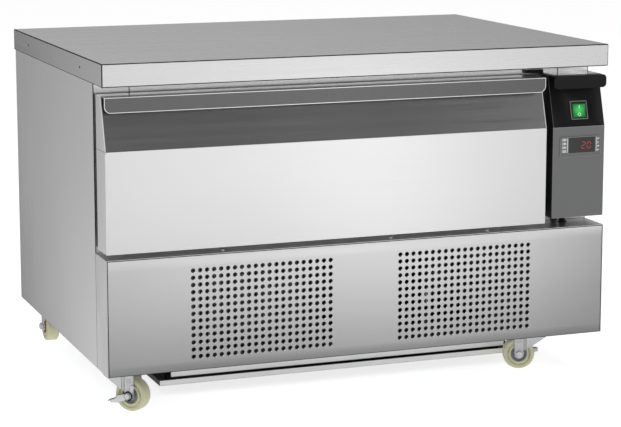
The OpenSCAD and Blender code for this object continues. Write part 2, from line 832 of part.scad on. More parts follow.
module refrigerant_pipes() {
    shell_top = tray_z + sheet + foot_h + compressor_h;
    px = compressor_x + compressor_r;
    py = front + compressor_d;
    pz = tray_z + sheet + foot_h + compressor_h / 2;
    cx = condenser_x + condenser_w / 2 + plate_end;
    cy = front + condenser_d + coil_t / 2;
    row = condenser_h / condenser_rows / 2;
    hot_z = floor_z + condenser_h - row;
    cold_z = floor_z + row;
    ex = evap_coil_x + evap_coil_t / 2;
    ey = front + evap_coil_d + evap_coil_len + plate_end;
    erow = evap_coil_h / evap_rows / 2;
    wy = front + pipe_d;
    suction_x = pipe_x - 6;
    liquid_x = suction_x + pipe_apart;
    high_z = shell_top + pipe_rise;
    color(copper) {
        pipe([[ex, ey, cavity_low + evap_coil_h - erow], [ex, wy, cavity_low + evap_coil_h - erow],
            [suction_x, wy, cavity_low + evap_coil_h - erow], [suction_x, wy, pz],
            [suction_x, py, pz], [px, py, pz]], suction_r);
        pipe([[compressor_x, py, shell_top], [compressor_x, py, high_z],
            [compressor_x, cy + pipe_loop, high_z], [cx + pipe_side, cy + pipe_loop, high_z],
            [cx + pipe_side, cy, high_z], [cx + pipe_side, cy, hot_z], [cx, cy, hot_z]], discharge_r);
        pipe([[drier_x, front + drier_d + drier_len / 2, cold_z], [drier_x, wy, cold_z],
            [liquid_x, wy, cold_z], [liquid_x, wy, cavity_low + erow], [ex, wy, cavity_low + erow],
            [ex, ey, cavity_low + erow]], liquid_r);
        pipe([[drier_x, front + drier_d - drier_len / 2, cold_z], [drier_x, cy, cold_z],
            [cx, cy, cold_z]], liquid_r);
    }
}

module filter_drier() {
    color(copper) translate([drier_x, front + drier_d - drier_len / 2, drier_z])
        rotate([-90, 0, 0]) rotate_extrude() polygon([[0, 0], [4, 0], [4, 8], [11, 20],
            [11, drier_len - 20], [4, drier_len - 8], [4, drier_len], [0, drier_len]]);
}

// Shallow tray with two black hanger plates up to the base floor
module machine_tray() {
    color(dark_steel) translate([tray_mid, 0, 0]) difference() {
        slab(-tray_x, tray_x, tray_d, tray_back, tray_z, tray_z + tray_rim);
        slab(-tray_x + sheet, tray_x - sheet, tray_d + sheet, tray_back - sheet, tray_z + sheet,
            tray_z + tray_rim + far);
    }
    color(black) for (side = [-1, 1])
        slab(tray_mid + side * stay_x - sheet, tray_mid + side * stay_x + sheet, cut_front,
            cut_back, tray_z + sheet, caster_h);
}

// Strips from the floor down to the tray: one in front, one that closes the gap at the back
module tray_baffle() {
    color(steel) {
        slab(tray_mid - tray_x + baffle_end, tray_mid + tray_x - baffle_end, baffle_d,
            baffle_d + sheet, baffle_low, caster_h);
        slab(tray_mid - tray_x, tray_mid + tray_x, tray_back - sheet, tray_back,
            tray_z + tray_rim, caster_h);
    }
}

// The sloping inner face lies one sheet thickness inside the outer one
module drawer_hollow(back) {
    lean = slant_d / slant_h;
    away = sheet / cos(slant);
    polygon([[sheet, drawer_low + sheet], [sheet, crease + (sheet - away) / lean],
        [(slant_h - sheet) * lean + away, drawer_top - sheet], [back, drawer_top - sheet],
        [back, drawer_low + sheet]]);
}

module drawer_front_skin() {
    color(steel) along_x(drawer_left + sheet, drawer_right - sheet) difference() {
        front_outline(0, drawer_low, drawer_top, drawer_t);
        drawer_hollow(drawer_t + far);
    }
}

module drawer_core() {
    color("#e8dfae") along_x(drawer_left + sheet, drawer_right - sheet)
        drawer_hollow(drawer_t - sheet);
}

module drawer_end_caps() {
    color(steel) for (x = [drawer_left, drawer_right - sheet])
        along_x(x, x + sheet) front_outline(0, drawer_low, drawer_top, drawer_t);
}

// Folded strip hooked over the top of the slanted face, with its lower corners rounded
module drawer_handle_lip() {
    x0 = drawer_left + lip_end_left;
    x1 = drawer_right - lip_end_right;
    low = drawer_top - lip_h;
    color(dark_steel) {
        along_depth(lip_d, lip_d + lip_t) {
            translate([x0, low + lip_r]) square([x1 - x0, lip_h - lip_r]);
            translate([x0 + lip_r, low]) square([x1 - x0 - 2 * lip_r, lip_h]);
            for (x = [x0 + lip_r, x1 - lip_r]) translate([x, low + lip_r]) circle(lip_r);
        }
        slab(x0, x1, lip_d + lip_t, slant_d - 0.5, drawer_top - lip_t, drawer_top);
    }
}

module drawer_inner_panel() {
    color(steel) slab(drawer_left + sheet, drawer_right - sheet, drawer_t - sheet, drawer_t,
        drawer_low + sheet, drawer_top - sheet);
}

// Ring of soft profile that closes on the frame round the opening
module drawer_gasket() {
    x0 = cavity_left - gasket_inset;
    x1 = cover_x + gasket_inset;
    z0 = cavity_low - gasket_inset + gasket_rise;
    z1 = cavity_top + gasket_inset - gasket_rise;
    color("#3a3b3c") difference() {
        slab(x0 - gasket_w, x1 + gasket_w, drawer_t, setback - seat, z0 - gasket_w, z1 + gasket_w);
        slab(x0, x1, drawer_t - far, setback + far, z0, z1);
    }
}

// The tub is welded from a floor, four walls and two rims, and a bar stiffens its mouth
module drawer_tub() {
    t = liner_t;
    mid_x = (tub_left + tub_right) / 2;
    color(steel) {
        slab(tub_left, tub_right, drawer_t, tub_back, tub_low, tub_low + t);
        for (x = [tub_left, tub_right - t])
            slab(x, x + t, drawer_t + t + weld, tub_back - t - weld, tub_low + t + weld, tub_top);
        for (d = [drawer_t, tub_back - t])
            slab(tub_left, tub_right, d, d + t, tub_low + t + weld, tub_top);
        slab(tub_left - tub_rim, tub_left - weld, frame_back, tub_back, tub_top - t, tub_top);
        slab(tub_right + weld, tub_right + tub_rim, frame_back, tub_back, tub_top - t, tub_top);
        slab(mid_x - tub_bar_w / 2, mid_x + tub_bar_w / 2, drawer_t + t + weld, tub_back - t - weld,
            tub_top - tub_bar_drop - tub_bar_t, tub_top - tub_bar_drop);
    }
}

// One U-shaped slide member: web at u0, open towards larger u, for the left side
module slide_member(u0, u1, half, web_first, d0) {
    web = web_first ? u0 : u1 - slide_sheet;
    slab(web, web + slide_sheet, d0, d0 + slide_len, slide_z - half, slide_z + half);
    slab(u0, u1, d0, d0 + slide_len, slide_z + half - slide_sheet, slide_z + half);
    slab(u0, u1, d0, d0 + slide_len, slide_z - half, slide_z - half + slide_sheet);
}

module slide_cabinet_member() {
    slide_member(0, slide_outer_u, half_outer, true, slide_start);
}

module slide_middle_member() {
    slide_member(slide_sheet + slide_gap, slide_middle_u, half_middle, true, slide_start);
}

module slide_drawer_member() {
    slide_member(2 * (slide_sheet + slide_gap), slide_w, half_inner, false, slide_start);
}

module on_left_slide() {
    translate([cavity_left, 0, 0]) children();
}

module on_right_slide() {
    translate([cover_x, 0, 0]) mirror([1, 0, 0]) children();
}

module slide_cabinet_members() {
    color(dark_steel) {
        on_left_slide() slide_cabinet_member();
        on_right_slide() slide_cabinet_member();
    }
}

module slide_middle_left() {
    color(dark_steel) on_left_slide() slide_middle_member();
}

module slide_middle_right() {
    color(dark_steel) on_right_slide() slide_middle_member();
}

module slide_drawer_members() {
    color(dark_steel) {
        on_left_slide() slide_drawer_member();
        on_right_slide() slide_drawer_member();
    }
}

// Fixed half of a caster: plate, race and king pin, on the swivel axis
module caster_plate() {
    difference() {
        translate([-plate_s / 2, -plate_s / 2, plate_z]) cube([plate_s, plate_s, plate_t]);
        for (x = [-1, 1], y = [-1, 1]) translate([x * bolt_offset, y * bolt_offset, plate_z - far])
            cylinder(r = 4.2, h = 2 * far);
    }
    translate([0, 0, plate_z - race_t]) cylinder(r = 19, h = race_t);
    translate([0, 0, crown_z - seat - 1]) cylinder(r = pin_r, h = crown_t + 3);
    translate([0, 0, crown_z - seat - 3]) cylinder(r = 9, h = 3);
}

module caster_plates() {
    color(steel) for (i = [0:3]) translate([caster_x[i], front + caster_d[i], 0]) caster_plate();
}

// Turns its children to the way that caster i points
module at_caster(i) {
    translate([caster_x[i], front + caster_d[i], 0]) rotate([0, 0, caster_turn[i]]) children();
}

// Swivelling fork with its axle bolt and nut, trailing along local +X
module caster_fork(brake) {
    head_y = (brake ? fork_out + lever_t + 2 * seat : fork_out) + bolt_fit;
    color(steel) difference() {
        union() {
            translate([0, 0, crown_z]) cylinder(r = crown_r, h = crown_t);
            for (y = [-fork_out, fork_gap / 2]) translate([0, y + leg_t, 0]) rotate([90, 0, 0])
                linear_extrude(leg_t) {
                    polygon([[-18, crown_z + 1], [caster_trail + 5, crown_z + 1],
                        [caster_trail + 6, crown_z - 20], [caster_trail + 9, wheel_r + 1],
                        [caster_trail + 6, wheel_r - 7], [caster_trail - 6, wheel_r - 7],
                        [caster_trail - 9.5, wheel_r], [-18, crown_z - 10]]);
                    translate([caster_trail, wheel_r]) circle(9);
                }
        }
        translate([0, 0, crown_z - far]) cylinder(r = pin_r + run_gap, h = 3 * far);
        translate([caster_trail, 4 * far, wheel_r]) rotate([90, 0, 0])
            cylinder(r = axle_r + bolt_fit, h = 8 * far);
    }
    color(dark_steel) translate([caster_trail, 0, wheel_r]) rotate([-90, 0, 0]) {
        translate([0, 0, -head_y - 5]) cylinder(r = 7.2, h = 5, $fn = 6);
        translate([0, 0, -head_y]) cylinder(r = axle_r, h = head_y + fork_out + 1);
        translate([0, 0, fork_out + bolt_fit]) cylinder(r = 7.2, h = 5, $fn = 6);
    }
}

module caster_fork_front_left() { at_caster(0) caster_fork(true); }
module caster_fork_front_right() { at_caster(1) caster_fork(true); }
module caster_fork_rear_left() { at_caster(2) caster_fork(false); }
module caster_fork_rear_right() { at_caster(3) caster_fork(false); }

// Grey hub and cream tread
module caster_wheel() {
    half = wheel_w / 2;
    translate([caster_trail, 0, wheel_r]) rotate([90, 0, 0]) {
        color(grey) rotate_extrude() polygon([[axle_r + run_gap, -half - 1], [10, -half - 1],
            [12, -half + 4], [hub_r - 4, -half + 4], [hub_r - 3, -half + 1],
            [hub_r - run_gap, -half + 1], [hub_r - run_gap, half - 1], [hub_r - 3, half - 1],
            [hub_r - 4, half - 4], [12, half - 4],
            [10, half + 1], [axle_r + run_gap, half + 1]]);
        color(cream) rotate_extrude($fn = 96) polygon([[hub_r, -half], [wheel_r - 3, -half],
            [wheel_r - 1, -half + 1.5], [wheel_r, -half + 4], [wheel_r, half - 4],
            [wheel_r - 1, half - 1.5], [wheel_r - 3, half], [hub_r, half]]);
    }
}

module caster_wheel_front_left() { at_caster(0) caster_wheel(); }
module caster_wheel_front_right() { at_caster(1) caster_wheel(); }
module caster_wheel_rear_left() { at_caster(2) caster_wheel(); }
module caster_wheel_rear_right() { at_caster(3) caster_wheel(); }

// Stamped lever on the axle bolt, with its pedal bent outwards; tilt lifts it from level
module brake_lever(tilt) {
    color(steel) translate([caster_trail, -fork_out - seat, wheel_r]) rotate([0, tilt, 0]) {
        rotate([90, 0, 0]) difference() {
            linear_extrude(lever_t) {
                circle(9);
                translate([-lever_len, -5]) square([lever_len, 10]);
            }
            translate([0, 0, -far]) cylinder(r = axle_r + run_gap, h = 3 * far);
        }
        translate([-lever_len, -12, 2]) cube([14, 12, 2]);
        translate([-lever_len, -lever_t, 2]) cube([14, lever_t, 2]);
    }
}

module brake_lever_left() { at_caster(0) brake_lever(-brake_travel); }
module brake_lever_right() { at_caster(1) brake_lever(0); }

side_panel_left();
side_panel_right();
back_panel();
body_skins();
insulation();
inner_liner();
front_frame();
worktop_skin();
worktop_core();
screws();
base_floor();
base_surround();
base_front_panel();
control_housing();
control_cap();
control_fascia();
switch_bezel();
switch_rocker();
thermostat_case();
thermostat_window();
thermostat_key_1();
thermostat_key_2();
thermostat_key_3();
thermostat_key_4();
cable_glands();
evaporator_cover();
evaporator_coil();
evaporator_fan_frame();
evaporator_fan_rotor();
compressor();
compressor_feet();
condenser_coil();
condenser_fan_frame();
condenser_fan_rotor();
refrigerant_pipes();
filter_drier();
machine_tray();
tray_baffle();
drawer_front_skin();
drawer_core();
drawer_end_caps();
drawer_handle_lip();
drawer_inner_panel();
drawer_gasket();
drawer_tub();
slide_cabinet_members();
slide_middle_left();
slide_middle_right();
slide_drawer_members();
caster_plates();
caster_fork_front_left();
caster_fork_front_right();
caster_fork_rear_left();
caster_fork_rear_right();
caster_wheel_front_left();
caster_wheel_front_right();
caster_wheel_rear_left();
caster_wheel_rear_right();
brake_lever_left();
brake_lever_right();
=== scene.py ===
# %% [markdown]
# # A refrigerated drawer unit
# A low stainless counter on four casters: one wide insulated drawer over a perforated machine
# base, with a black control housing at the right. The construction comes in as a fixed frame of
# named parts, in metres, with +Z up and the front towards -Y. Here each part gets its finish, and
# the parts whose folds, radii and pressings catch the light are modelled again in more detail.

# %% Load the fixed frame
import math

import bpy
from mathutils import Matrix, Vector


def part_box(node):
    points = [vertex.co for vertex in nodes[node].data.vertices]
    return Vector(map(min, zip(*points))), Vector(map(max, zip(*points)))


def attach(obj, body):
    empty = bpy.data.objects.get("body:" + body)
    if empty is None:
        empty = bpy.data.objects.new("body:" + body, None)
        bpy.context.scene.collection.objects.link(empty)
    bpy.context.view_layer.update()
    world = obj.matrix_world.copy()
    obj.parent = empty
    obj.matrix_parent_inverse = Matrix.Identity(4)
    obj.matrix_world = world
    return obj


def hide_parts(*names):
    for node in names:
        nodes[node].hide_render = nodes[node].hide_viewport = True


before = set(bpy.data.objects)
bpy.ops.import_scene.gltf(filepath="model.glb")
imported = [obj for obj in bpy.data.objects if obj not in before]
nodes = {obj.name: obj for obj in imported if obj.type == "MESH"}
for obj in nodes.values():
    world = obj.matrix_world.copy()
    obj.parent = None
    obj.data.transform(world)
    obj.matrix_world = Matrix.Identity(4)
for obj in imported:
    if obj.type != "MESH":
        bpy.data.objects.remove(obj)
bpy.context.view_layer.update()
MM = 0.001

# %% [markdown]
# ## Camera
# The photograph was taken from the front left, a little above the worktop, from about four metres.
# The far stand and the long lens keep the verticals almost parallel. The camera could be tilted
# until the unit sits in the picture, but that would turn the verticals too. A small downward shift
# of the picture frame moves the unit and leaves its lines alone.

# %% Camera
CAMERA_AT = (-1.4127, -3.8114, 1.0485)
CAMERA_YAW = 20.624
CAMERA_PITCH = 9.334
SENSOR_WIDTH = 36
FOCAL_LENGTH = 118.9
FRAME_SHIFT = -0.070

bpy.ops.object.select_all(action="DESELECT")
bpy.ops.object.camera_add(
    location=CAMERA_AT,
    rotation=(math.radians(90 - CAMERA_PITCH), 0, math.radians(-CAMERA_YAW)),
)
camera = bpy.context.object
camera.name = "camera"
camera.data.sensor_width = SENSOR_WIDTH
camera.data.lens = FOCAL_LENGTH
camera.data.shift_y = FRAME_SHIFT
bpy.context.scene.camera = camera
print("camera", FOCAL_LENGTH, "mm")

# %% [markdown]
# ## Studio
# Polished sheet shows what it mirrors, so the surroundings matter more than the lamps. Cards and
# tents could stand round the unit as in a real studio, but then each would have to be hidden from
# the camera. Instead the floor and the sky themselves hold the tones. The floor is white to the
# eye, but in reflections it is a table that falls off into grey near the unit: that is what shades
# the base from bright above to dark below. The surroundings are bright close to the horizon in
# front and dark higher up, which is what makes the leaning face of the drawer dark.

# %% Small helpers for shader nodes


def new_material(name):
    """An empty material with a node tree."""
    material = bpy.data.materials.new(name)
    material.use_nodes = True
    material.node_tree.nodes.clear()
    return material


def add_node(tree, kind, **values):
    """Adds a shader node and sets its inputs or its properties by name."""
    made = tree.nodes.new(kind)
    for key, value in values.items():
        if key in made.inputs:
            made.inputs[key].default_value = value
        else:
            setattr(made, key, value)
    return made


def feed(tree, value, socket):
    """Links a socket into an input, or sets the input to a plain value."""
    if isinstance(value, (int, float, tuple)):
        socket.default_value = value
    else:
        tree.links.new(value, socket)


def math_node(tree, operation, first, second=0.0):
    """The result of a Math node whose inputs are sockets or numbers."""
    made = add_node(tree, "ShaderNodeMath", operation=operation)
    feed(tree, first, made.inputs[0])
    feed(tree, second, made.inputs[1])
    return made.outputs[0]


def mix_colours(tree, factor, first, second):
    """The first colour where the factor is 0 and the second where it is 1."""
    made = add_node(tree, "ShaderNodeMix", data_type="RGBA")
    for key, value in (("Factor", factor), ("A", first), ("B", second)):
        feed(tree, value, made.inputs[key])
    return made.outputs["Result"]


def grey_ramp(tree, value, stops, ease="EASE"):
    """A ramp of greys over a value between 0 and 1; stops are (place, grey)."""
    ramp = tree.nodes.new("ShaderNodeValToRGB")
    ramp.color_ramp.interpolation = ease
    elements = ramp.color_ramp.elements
    while len(elements) < len(stops):
        elements.new(0.5)
    for element, (place, grey) in zip(elements, stops):
        element.position = place
    for element, (place, grey) in zip(elements, stops):
        element.color = (grey, grey, grey, 1)
    tree.links.new(value, ramp.inputs["Fac"])
    return ramp.outputs["Color"]


def span(tree, value, low, high):
    """Where a value lies between two limits, from 0 to 1."""
    made = add_node(tree, "ShaderNodeMapRange", clamp=True)
    made.inputs["From Min"].default_value = low
    made.inputs["From Max"].default_value = high
    tree.links.new(value, made.inputs["Value"])
    return made.outputs["Result"]


def split_axes(tree, kind, output):
    """The X, Y and Z of a place or a direction that a node of this kind gives."""
    source = tree.nodes.new(kind)
    parts = tree.nodes.new("ShaderNodeSeparateXYZ")
    tree.links.new(source.outputs[output], parts.inputs["Vector"])
    return parts.outputs


print("helpers are ready")

# %% Tones of the floor, as the sheets mirror it
# In front of the unit: dark near it, bright further off, up to this many metres
FRONT_REACH = -6.0
FRONT_FLOOR = [(0.0, 0.24), (0.07, 0.26), (0.14, 0.46), (0.25, 0.92), (0.42, 1.12), (1.0, 1.22)]
# A band across it, slanted towards the camera, is brightest in the middle of the unit
BAND_SLANT = 0.38
BAND_SPAN = (-1.34, 1.06)
MIDDLE_BAND = [(0.0, 0.66), (0.35, 0.84), (0.55, 1.0), (0.75, 0.76), (1.0, 0.52)]
# Beside the unit: how much each metre along X and Y counts, and the tones over that distance
SIDE_WAY = (-4.13, -1.03)
SIDE_SPAN = (0.3, 4.0)
SIDE_FLOOR = [(0.0, 0.10), (0.30, 0.12), (0.44, 0.32), (0.58, 0.58), (0.75, 0.62), (1.0, 0.47)]
# Between these places along Y the tones go over from front to side
FRONT_TO_SIDE = (-0.50, -0.20)


def floor_tone(tree):
    """The colour that a sheet mirrors at each place of the floor."""
    place = split_axes(tree, "ShaderNodeNewGeometry", "Position")
    slanted = math_node(tree, "ADD", place["X"], math_node(tree, "MULTIPLY", place["Y"], BAND_SLANT))
    front = add_node(tree, "ShaderNodeVectorMath", operation="MULTIPLY")
    ahead = span(tree, place["Y"], 0.0, FRONT_REACH)
    feed(tree, grey_ramp(tree, ahead, FRONT_FLOOR), front.inputs[0])
    feed(tree, grey_ramp(tree, span(tree, slanted, *BAND_SPAN), MIDDLE_BAND), front.inputs[1])
    leftwards = math_node(tree, "ADD", math_node(tree, "MULTIPLY", place["X"], SIDE_WAY[0]),
                          math_node(tree, "MULTIPLY", place["Y"], SIDE_WAY[1]))
    side = grey_ramp(tree, span(tree, leftwards, *SIDE_SPAN), SIDE_FLOOR)
    return mix_colours(tree, span(tree, place["Y"], *FRONT_TO_SIDE), front.outputs["Vector"], side)


print("tones:", len(FRONT_FLOOR) + len(MIDDLE_BAND) + len(SIDE_FLOOR))

# %% Floor
FLOOR_SIZE = 80.0
FLOOR_GLOW = 0.78

floor_look = new_material("pale_floor")
tree = floor_look.node_tree
seen = add_node(tree, "ShaderNodeBsdfDiffuse", Color=(0.8, 0.8, 0.8, 1))
glow = add_node(tree, "ShaderNodeEmission", Strength=FLOOR_GLOW)
plain = tree.nodes.new("ShaderNodeAddShader")
mirrored = tree.nodes.new("ShaderNodeEmission")
path = tree.nodes.new("ShaderNodeLightPath")
choice = tree.nodes.new("ShaderNodeMixShader")
out = tree.nodes.new("ShaderNodeOutputMaterial")
feed(tree, floor_tone(tree), mirrored.inputs["Color"])
feed(tree, seen.outputs["BSDF"], plain.inputs[0])
feed(tree, glow.outputs["Emission"], plain.inputs[1])
feed(tree, path.outputs["Is Glossy Ray"], choice.inputs["Fac"])
feed(tree, plain.outputs["Shader"], choice.inputs[1])
feed(tree, mirrored.outputs["Emission"], choice.inputs[2])
feed(tree, choice.outputs["Shader"], out.inputs["Surface"])

bpy.ops.mesh.primitive_plane_add(size=FLOOR_SIZE, location=(0, 0, 0))
floor = bpy.context.object
floor.name = "floor"
floor.data.materials.append(floor_look)
print("floor", FLOOR_SIZE, "m across")

# %% Surroundings
# Tones from the horizon, at 0, up to straight overhead, at 1
FRONT_WALL = [(0.0, 1.0), (0.10, 1.0), (0.23, 0.10), (0.45, 0.05), (0.75, 0.10), (1.0, 0.45)]
BACK_WALL = [(0.0, 0.38), (0.20, 0.38), (0.45, 0.32), (0.75, 0.15), (1.0, 0.45)]
FRONT_TO_BACK = (-0.35, 0.10)
WHITE = (1, 1, 1, 1)

world = bpy.data.worlds.new("studio")
bpy.context.scene.world = world
world.use_nodes = True
tree = world.node_tree
direction = split_axes(tree, "ShaderNodeTexCoord", "Generated")
wall = mix_colours(tree, span(tree, direction["Y"], *FRONT_TO_BACK),
                   grey_ramp(tree, direction["Z"], FRONT_WALL),
                   grey_ramp(tree, direction["Z"], BACK_WALL))
path = tree.nodes.new("ShaderNodeLightPath")
shown = mix_colours(tree, path.outputs["Is Camera Ray"], wall, WHITE)
feed(tree, shown, tree.nodes["Background"].inputs["Color"])
print("surroundings:", len(tree.nodes), "nodes")

# %% Lamps


def soft_box(name, at, towards, size, power):
    """A square area lamp that faces a point."""
    bpy.ops.object.light_add(type="AREA", location=at)
    lamp = bpy.context.object
    lamp.name = name
    lamp.rotation_euler = (Vector(towards) - Vector(at)).to_track_quat("-Z", "Y").to_euler()
    lamp.data.shape = "SQUARE"
    lamp.data.size = size
    lamp.data.energy = power
    return lamp


soft_box("key", (-2.4, -2.6, 3.6), (0, 0, 0.3), 2.2, 45)
soft_box("fill", (3.0, -2.4, 1.6), (0, 0, 0.3), 1.8, 12)
soft_box("top", (0.4, 1.2, 3.8), (0, 0, 0.6), 2.4, 30)
bpy.context.scene.view_settings.view_transform = "Standard"
print("studio is ready")

# %% [markdown]
# ## Brushed sheet
# Stainless sheet is ground with a belt, which leaves fine scratches in one direction. The scratches
# could be modelled or painted, but they are finer than any picture shows. One node group makes the
# grain for all the sheet: noise drawn out along the belt's path, fine enough to shimmer and with a
# few broader streaks, and slow clouds where hands and cloths have been. It gives a tone, a
# roughness and a height, and each material adds its own colour and direction.

# %% The brushed grain group


def new_group(name, inputs, outputs):
    """A node group with named sockets, and its two end nodes. Inputs are name: (kind, default)."""
    group = bpy.data.node_groups.new(name, "ShaderNodeTree")
    for key, (kind, default) in inputs.items():
        socket = group.interface.new_socket(name=key, in_out="INPUT",
                                            socket_type="NodeSocket" + kind)
        if default is not None:
            socket.default_value = default
    for key, kind in outputs.items():
        group.interface.new_socket(name=key, in_out="OUTPUT", socket_type="NodeSocket" + kind)
    enter = group.nodes.new("NodeGroupInput")
    leave = group.nodes.new("NodeGroupOutput")
    return group, enter.outputs, leave.inputs


def noise_node(tree, vector, scale, detail=2.0):
    """A noise between 0 and 1 on a vector."""
    made = add_node(tree, "ShaderNodeTexNoise", Detail=detail)
    feed(tree, scale, made.inputs["Scale"])
    feed(tree, vector, made.inputs["Vector"])
    return made.outputs["Fac"]


def varied(tree, base, change, amount):
    """A base value, raised and lowered by a share of itself as a change about zero goes."""
    return math_node(tree, "MULTIPLY", math_node(tree, "ADD", math_node(
        tree, "MULTIPLY", change, amount), 1.0), base)


def make_brushed_grain():
    """Tone, roughness and height of belt-ground sheet."""
    group, given, result = new_group(
        "brushed_grain",
        {"Along": ("Vector", None), "Place": ("Vector", None), "Contrast": ("Float", 0.06),
         "Roughness": ("Float", 0.3), "Clouds": ("Float", 0.05)},
        {"Tone": "Float", "Roughness": "Float", "Height": "Float"})
    fine = noise_node(group, given["Along"], 1.0, 3.0)
    broad = noise_node(group, given["Along"], 0.2, 1.0)
    cloud = noise_node(group, given["Place"], 3.5, 3.0)
    streak = math_node(group, "ADD", math_node(group, "MULTIPLY", fine, 0.6),
                       math_node(group, "MULTIPLY", broad, 0.4))
    centred = math_node(group, "SUBTRACT", streak, 0.5)
    tone = math_node(group, "MULTIPLY", centred, given["Contrast"])
    shade = math_node(group, "MULTIPLY", math_node(group, "SUBTRACT", cloud, 0.5),
                      given["Clouds"])
    rough = varied(group, given["Roughness"], centred, 0.5)
    total = math_node(group, "ADD", math_node(group, "ADD", tone, shade), 1.0)
    feed(group, total, result["Tone"])
    feed(group, math_node(group, "ADD", rough, math_node(group, "MULTIPLY", shade, 0.8)),
         result["Roughness"])
    feed(group, fine, result["Height"])
    return group


brushed_grain = make_brushed_grain()
print("group", brushed_grain.name)

# %% [markdown]
# ## Steel finishes
# The same sheet is used all over the unit, but each panel is cut with the grain in its own
# direction: along the worktop, across the drawer, up and down on the sides. One material for all
# would be simpler, but then the grain would run wrong on most panels. The tones differ from panel to
# panel as well: each is set to how bright its panel looks, so it partly paints the light and shade
# that the panel gets, and the handle lip's dark tone is painted shade. A stretched highlight
# (anisotropy) goes with the grain.

# %% Steel materials
STEEL_DEPTH = 0.0002
# Few waves along the grain and many across it draw the noise out into scratches
ALONG = {"X": (6, 500, 500), "Y": (500, 6, 500), "Z": (500, 500, 6)}


def principled(material, **values):
    """Adds a Principled shader with an output, and returns the shader."""
    tree = material.node_tree
    shader = tree.nodes.new("ShaderNodeBsdfPrincipled")
    for key, value in values.items():
        shader.inputs[key.replace("_", " ")].default_value = value
    out = tree.nodes.new("ShaderNodeOutputMaterial")
    tree.links.new(shader.outputs["BSDF"], out.inputs["Surface"])
    return shader


def use_group(tree, group, settings):
    """Places a node group in a material, with its own values, on Object coordinates."""
    made = tree.nodes.new("ShaderNodeGroup")
    made.node_tree = group
    for key, value in settings.items():
        made.inputs[key].default_value = value
    place = tree.nodes.new("ShaderNodeTexCoord")
    tree.links.new(place.outputs["Object"], made.inputs["Place"])
    return made, place.outputs["Object"]


def raise_surface(tree, shader, height, strength, depth):
    """Lets a height tilt the surface of a shader."""
    raised = add_node(tree, "ShaderNodeBump", Strength=strength, Distance=depth)
    tree.links.new(height, raised.inputs["Height"])
    tree.links.new(raised.outputs["Normal"], shader.inputs["Normal"])


def steel(name, tone, roughness, along, contrast=0.10, clouds=0.05, stretch=0.5, bump=0.05):
    """Brushed steel with its grain along one axis."""
    material = new_material(name)
    shader = principled(material, Metallic=1.0, Anisotropic=stretch)
    tree = material.node_tree
    grain, place = use_group(tree, brushed_grain, {
        "Contrast": contrast, "Roughness": roughness, "Clouds": clouds})
    drawn = add_node(tree, "ShaderNodeMapping", Scale=ALONG[along])
    feed(tree, place, drawn.inputs["Vector"])
    feed(tree, drawn.outputs["Vector"], grain.inputs["Along"])
    colour = add_node(tree, "ShaderNodeVectorMath", operation="SCALE")
    feed(tree, (tone, tone, tone), colour.inputs[0])
    feed(tree, grain.outputs["Tone"], colour.inputs["Scale"])
    feed(tree, colour.outputs["Vector"], shader.inputs["Base Color"])
    feed(tree, grain.outputs["Roughness"], shader.inputs["Roughness"])
    raise_surface(tree, shader, grain.outputs["Height"], bump, STEEL_DEPTH)
    tangent = add_node(tree, "ShaderNodeTangent", direction_type="RADIAL", axis=along)
    feed(tree, tangent.outputs["Tangent"], shader.inputs["Tangent"])
    return material


# Tones set panel by panel to each panel's brightness: partly painted light and shade.
top_steel = steel("worktop_steel", 0.84, 0.28, "X", contrast=0.01, clouds=0.02, bump=0.02)
side_steel = steel("side_steel", 0.97, 0.23, "Z", contrast=0.05)
edge_steel = steel("edge_steel", 0.74, 0.24, "Y", contrast=0.04)
front_steel = steel("front_steel", 0.88, 0.22, "X", contrast=0.04)
base_steel = steel("base_steel", 0.81, 0.24, "X", contrast=0.05)
# The lip's dark tone is painted shade: the same steel, painted dark.
lip_painted_shade_steel = steel("lip_painted_shade_steel", 0.17, 0.26, "X", contrast=0.10)
hem_steel = steel("hem_steel", 0.95, 0.18, "X", contrast=0.03)
frame_steel = steel("frame_steel", 0.98, 0.22, "X", contrast=0.05)
ledge_steel = steel("ledge_steel", 0.92, 0.36, "X", contrast=0.05)
plain_steel = steel("inner_steel", 0.66, 0.34, "X", clouds=0.08)
print("steels:", len(bpy.data.materials))

# %% [markdown]
# ## Moulded and coated finishes
# Everything that isn't bare sheet has a skin with a texture of its own: spark-eroded grain on the
# plastics, a spangle of crystals on zinc, an orange peel on the lacquer. Each could have its own
# nodes, but they differ only in scale and strength. So one group gives them a tone, a roughness
# and a height from a fine and a coarse noise, and each finish sets its values.

# %% The skin group


def make_skin():
    """Colour, roughness and height of a moulded or coated skin."""
    group, given, result = new_group(
        "skin",
        {"Place": ("Vector", None), "Colour": ("Color", (0.5, 0.5, 0.5, 1)),
         "Scale": ("Float", 1500), "Variation": ("Float", 0.05), "Roughness": ("Float", 0.4)},
        {"Colour": "Color", "Roughness": "Float", "Height": "Float"})
    fine = noise_node(group, given["Place"], given["Scale"])
    slow = noise_node(group, given["Place"], 12)
    centred = math_node(group, "SUBTRACT", math_node(group, "ADD", fine, slow), 1.0)
    scaled = add_node(group, "ShaderNodeVectorMath", operation="SCALE")
    feed(group, given["Colour"], scaled.inputs[0])
    feed(group, math_node(group, "ADD", math_node(
        group, "MULTIPLY", centred, given["Variation"]), 1.0), scaled.inputs["Scale"])
    feed(group, scaled.outputs["Vector"], result["Colour"])
    feed(group, varied(group, given["Roughness"], centred, 0.25), result["Roughness"])
    feed(group, fine, result["Height"])
    return group


skin = make_skin()


def coated(name, colour, roughness, scale=1500, variation=0.05, bump=0.1, depth=0.0001,
           **shader_values):
    """A finish with a textured skin. Further values go to the shader."""
    material = new_material(name)
    shader = principled(material, **shader_values)
    tree = material.node_tree
    surface, place = use_group(tree, skin, {
        "Colour": colour + (1,), "Scale": scale, "Variation": variation, "Roughness": roughness})
    feed(tree, surface.outputs["Colour"], shader.inputs["Base Color"])
    feed(tree, surface.outputs["Roughness"], shader.inputs["Roughness"])
    raise_surface(tree, shader, surface.outputs["Height"], bump, depth)
    return material


print("group", skin.name)

